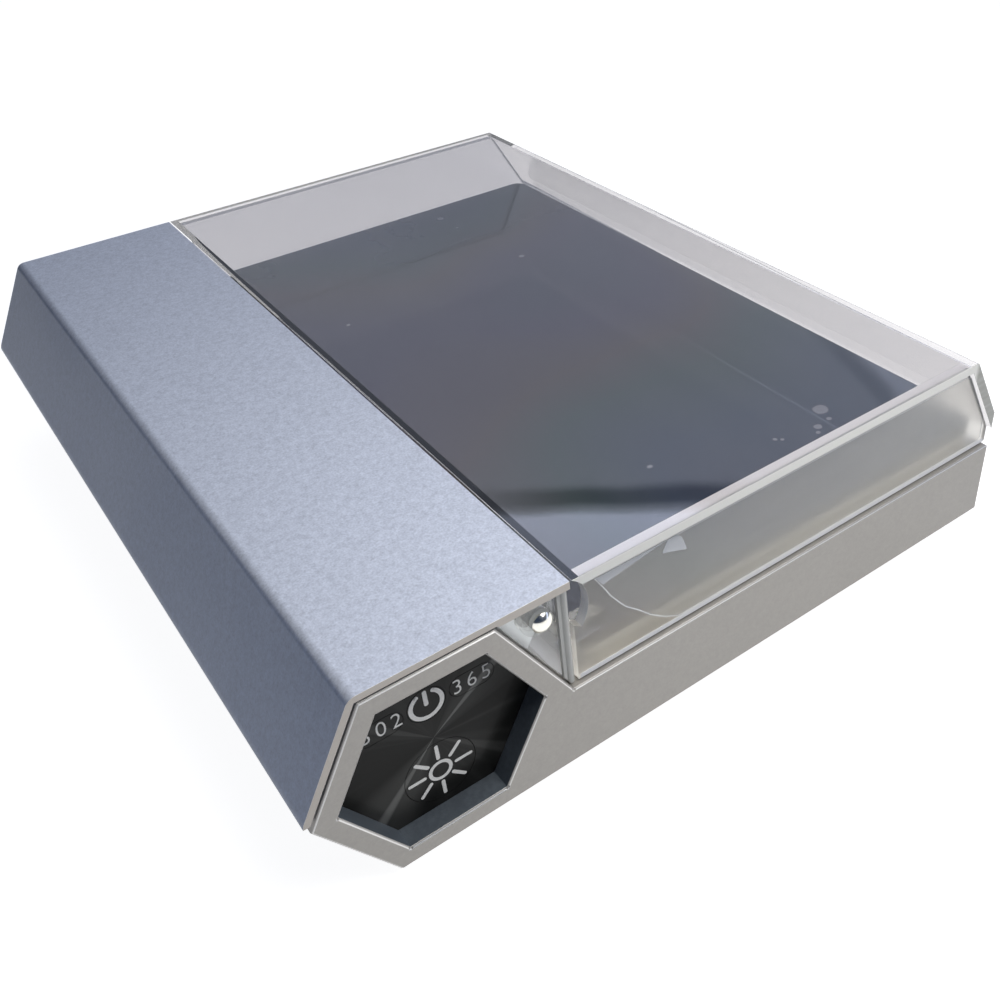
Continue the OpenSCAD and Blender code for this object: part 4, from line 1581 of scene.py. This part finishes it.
@dataclass
class Room:
    """The world's light: a pale room with a bright window and a dark band beside it.

    A span is where a mask starts and is full. Heights and sides are parts of a direction.

    Attributes:
        levels: Height and light of each stop from the horizon up.
        tint: The colour of that light.
        dim_tone: The light on the sides that are dim.
        lit_x: Where along X the room turns light.
        lit_y: The same along Y.
        lit_floor: The least share of light that is left along Y.
        window_edge: The direction at right angles to the window's nearest edge.
        wander: How far that edge wanders, and where it starts from.
        wander_scale: How often it does.
        pane_near: The window's start, seen from its edge.
        pane_far: Where it fades again.
        pane_x: Where along X it starts.
        pane_level: Its strength.
        pane_tone: Its colour.
        band_near: The dark band's start, seen from the window's edge.
        band_far: Where it fades again.
        band_x: Where along X it starts.
        band_level: How dark it gets.
        band_tone: Its colour.
        seen_tone: What the camera itself sees.
    """

    levels: tuple[Span, ...] = (
        (0.0, 0.18), (0.38, 0.44), (0.52, 0.60), (0.62, 0.80), (0.76, 0.60), (0.92, 0.20))
    tint: Colour = (0.90, 0.98, 1.20)
    dim_tone: Colour = (0.035, 0.05, 0.085)
    lit_x: Span = (-0.3, 0.25)
    lit_y: Span = (-0.3, 0.4)
    lit_floor: float = 0.2
    window_edge: Triple = (-0.376, -0.480, 0.793)
    wander: Span = (0.024, -0.026)
    wander_scale: float = 7.0
    pane_near: Span = (0.0, 0.012)
    pane_far: Span = (0.10, 0.25)
    pane_x: Span = (0.2, 0.36)
    pane_level: float = 1.4
    pane_tone: Colour = (1.02, 1.16, 1.55)
    band_near: Span = (-0.024, -0.012)
    band_far: Span = (-0.006, 0.002)
    band_x: Span = (0.3, 0.45)
    band_level: float = 0.75
    band_tone: Colour = (0.02, 0.02, 0.03)
    seen_tone: Colour = (0.98, 0.98, 0.98)

    def build(self) -> None:
        """Makes the world."""
        world = bpy.data.worlds.new("studio_room")
        bpy.context.scene.world = world
        w = empty_tree(world)
        way = w.add("ShaderNodeTexCoord").outputs["Generated"]
        x, y, z = w.axes(way)
        stops = [(height, tuple(level * part for part in self.tint)) for height, level in self.levels]
        lit = w.math("MULTIPLY", w.remap(x, *self.lit_x), w.remap(y, *self.lit_y, self.lit_floor))
        room = w.blend(lit, self.dim_tone, w.ramp(z, stops))
        wobble = w.math("MULTIPLY_ADD", w.noise(way, self.wander_scale), *self.wander)
        inside = w.math("ADD", w.vector("DOT_PRODUCT", way, self.window_edge), wobble)
        band = self._strip(w, inside, x, self.band_near, self.band_far, self.band_x, 1.0, self.band_level)
        pane = self._strip(w, inside, x, self.pane_near, self.pane_far, self.pane_x, self.pane_level, 1.0)
        dimmed = w.blend(band, room, self.band_tone)
        colour = w.blend(1.0, dimmed, w.blend(pane, BLACK, self.pane_tone), "ADD")
        seen = w.add("ShaderNodeLightPath").outputs["Is Camera Ray"]
        back = w.add("ShaderNodeBackground")
        w.join(w.blend(seen, colour, self.seen_tone), back.inputs["Color"])
        back.inputs["Strength"].default_value = 1.0
        w.join(back.outputs[0], w.add("ShaderNodeOutputWorld").inputs["Surface"])

    @staticmethod
    def _strip(w: Wiring, inside: Socket, x: Socket, near: Span, far: Span, side: Span, level: float,
               side_level: float) -> Socket:
        """Finds a strip along the window's edge.

        Args:
            w: The world's wiring.
            inside: How far a direction lies inside the window's edge.
            x: Its part along X.
            near: Where the strip starts and is full.
            far: Where it fades and is gone.
            side: Where along X it starts and is full.
            level: Its strength.
            side_level: Its strength along X.

        Returns:
            A mask of the strip.
        """
        strip = w.math("MULTIPLY", w.remap(inside, *near, 0.0, level), w.remap(inside, *far, 1.0, 0.0))
        return w.math("MULTIPLY", strip, w.remap(x, *side, 0.0, side_level))


@dataclass
class Studio:
    """Pale floor, lamps, room and camera.

    Attributes:
        camera_at: Where the camera stands.
        camera_turn: How it is turned about X, Y and Z, in radians.
        focal_px: Its focal length in pixels.
        centre_px: The pixel that it looks straight at.
        picture_px: Width of the picture.
        sensor: Width of its sensor in millimetres.
        nearest: Nothing closer than this is seen.
        farthest: Nothing further away than this is seen.
        floor_half: Half of the floor's side.
        floor_tones: The two tones that its soft patches shift between.
        floor_patches: Patches per metre.
        floor_glow: How bright the floor itself looks.
        room: The light all around.
        lamps: The lamps.
    """

    camera_at: Triple = (-0.129677, -0.268574, 0.210953)
    camera_turn: Triple = (0.9219002, 0.0342251, -0.6612744)
    focal_px: float = 1073.078
    centre_px: Span = (630.777, 484.47)
    picture_px: float = 1000.0
    sensor: float = 36.0
    nearest: float = 0.01
    farthest: float = 50.0
    floor_half: float = 6.0
    floor_tones: tuple[Colour, Colour] = ((0.38, 0.38, 0.39), (0.42, 0.42, 0.42))
    floor_patches: float = 3.0
    floor_glow: float = 0.93
    room: Room = field(default_factory=Room)
    lamps: tuple[Softbox, ...] = (
        Softbox("top_softbox", (0.05, -0.18, 0.30), (0.0, -0.14, 0.04), 0.24, 0.55),
        Softbox("key_softbox", (0.10, -0.28, 0.30), (-0.02, -0.10, 0.04), 0.22, 0.42, (1.0, 0.985, 0.96)))

    def build(self) -> None:
        """Sets up floor, world, lamps and camera."""
        self._floor()
        self.room.build()
        for lamp in self.lamps:
            lamp.build()
        self._camera()
        bpy.context.scene.view_settings.view_transform = "Standard"

    def _floor(self) -> None:
        """Lays the floor, which looks white, still takes the shadow and is open from below."""
        bm = bmesh.new()
        bmesh.ops.create_grid(bm, x_segments=1, y_segments=1, size=self.floor_half)
        material = bpy.data.materials.new("studio_floor")
        w = empty_tree(material)
        place = w.add("ShaderNodeTexCoord").outputs["Object"]
        matt = w.add("ShaderNodeBsdfDiffuse")
        w.join(w.blend(w.noise(place, self.floor_patches), *self.floor_tones), matt.inputs["Color"])
        glow = w.add("ShaderNodeEmission")
        rays = w.add("ShaderNodeLightPath").outputs
        through = w.math("MAXIMUM", rays["Is Glossy Ray"], rays["Is Transmission Ray"])
        seen = w.math("MAXIMUM", rays["Is Camera Ray"], through)
        w.join(w.math("MULTIPLY", seen, self.floor_glow), glow.inputs["Strength"])
        both = w.add("ShaderNodeAddShader")
        w.join(matt.outputs[0], both.inputs[0])
        w.join(glow.outputs[0], both.inputs[1])
        below = w.add("ShaderNodeNewGeometry").outputs["Backfacing"]
        shader = w.mix(below, both.outputs[0], w.add("ShaderNodeBsdfTransparent").outputs[0])
        w.join(shader, w.add("ShaderNodeOutputMaterial").inputs["Surface"])
        place_mesh("studio_floor", bm, material)

    def _camera(self) -> None:
        """Places the camera."""
        camera = bpy.data.cameras.new("camera")
        camera.sensor_width = self.sensor
        camera.lens = self.focal_px / self.picture_px * self.sensor
        camera.shift_x = 0.5 - self.centre_px[0] / self.picture_px
        camera.shift_y = self.centre_px[1] / self.picture_px - 0.5
        camera.clip_start = self.nearest
        camera.clip_end = self.farthest
        obj = bpy.data.objects.new("camera", camera)
        obj.location = self.camera_at
        obj.rotation_euler = self.camera_turn
        bpy.context.scene.collection.objects.link(obj)
        bpy.context.scene.camera = obj


def main() -> None:
    """Builds the studio and every sub-assembly, in order."""
    logging.basicConfig(level=logging.INFO, format="%(message)s")
    Studio().build()
    Housing().build()
    Platform().build()
    Controls().build()
    Hinge().build()
    Cover().build()


if __name__ == "__main__":
    main()
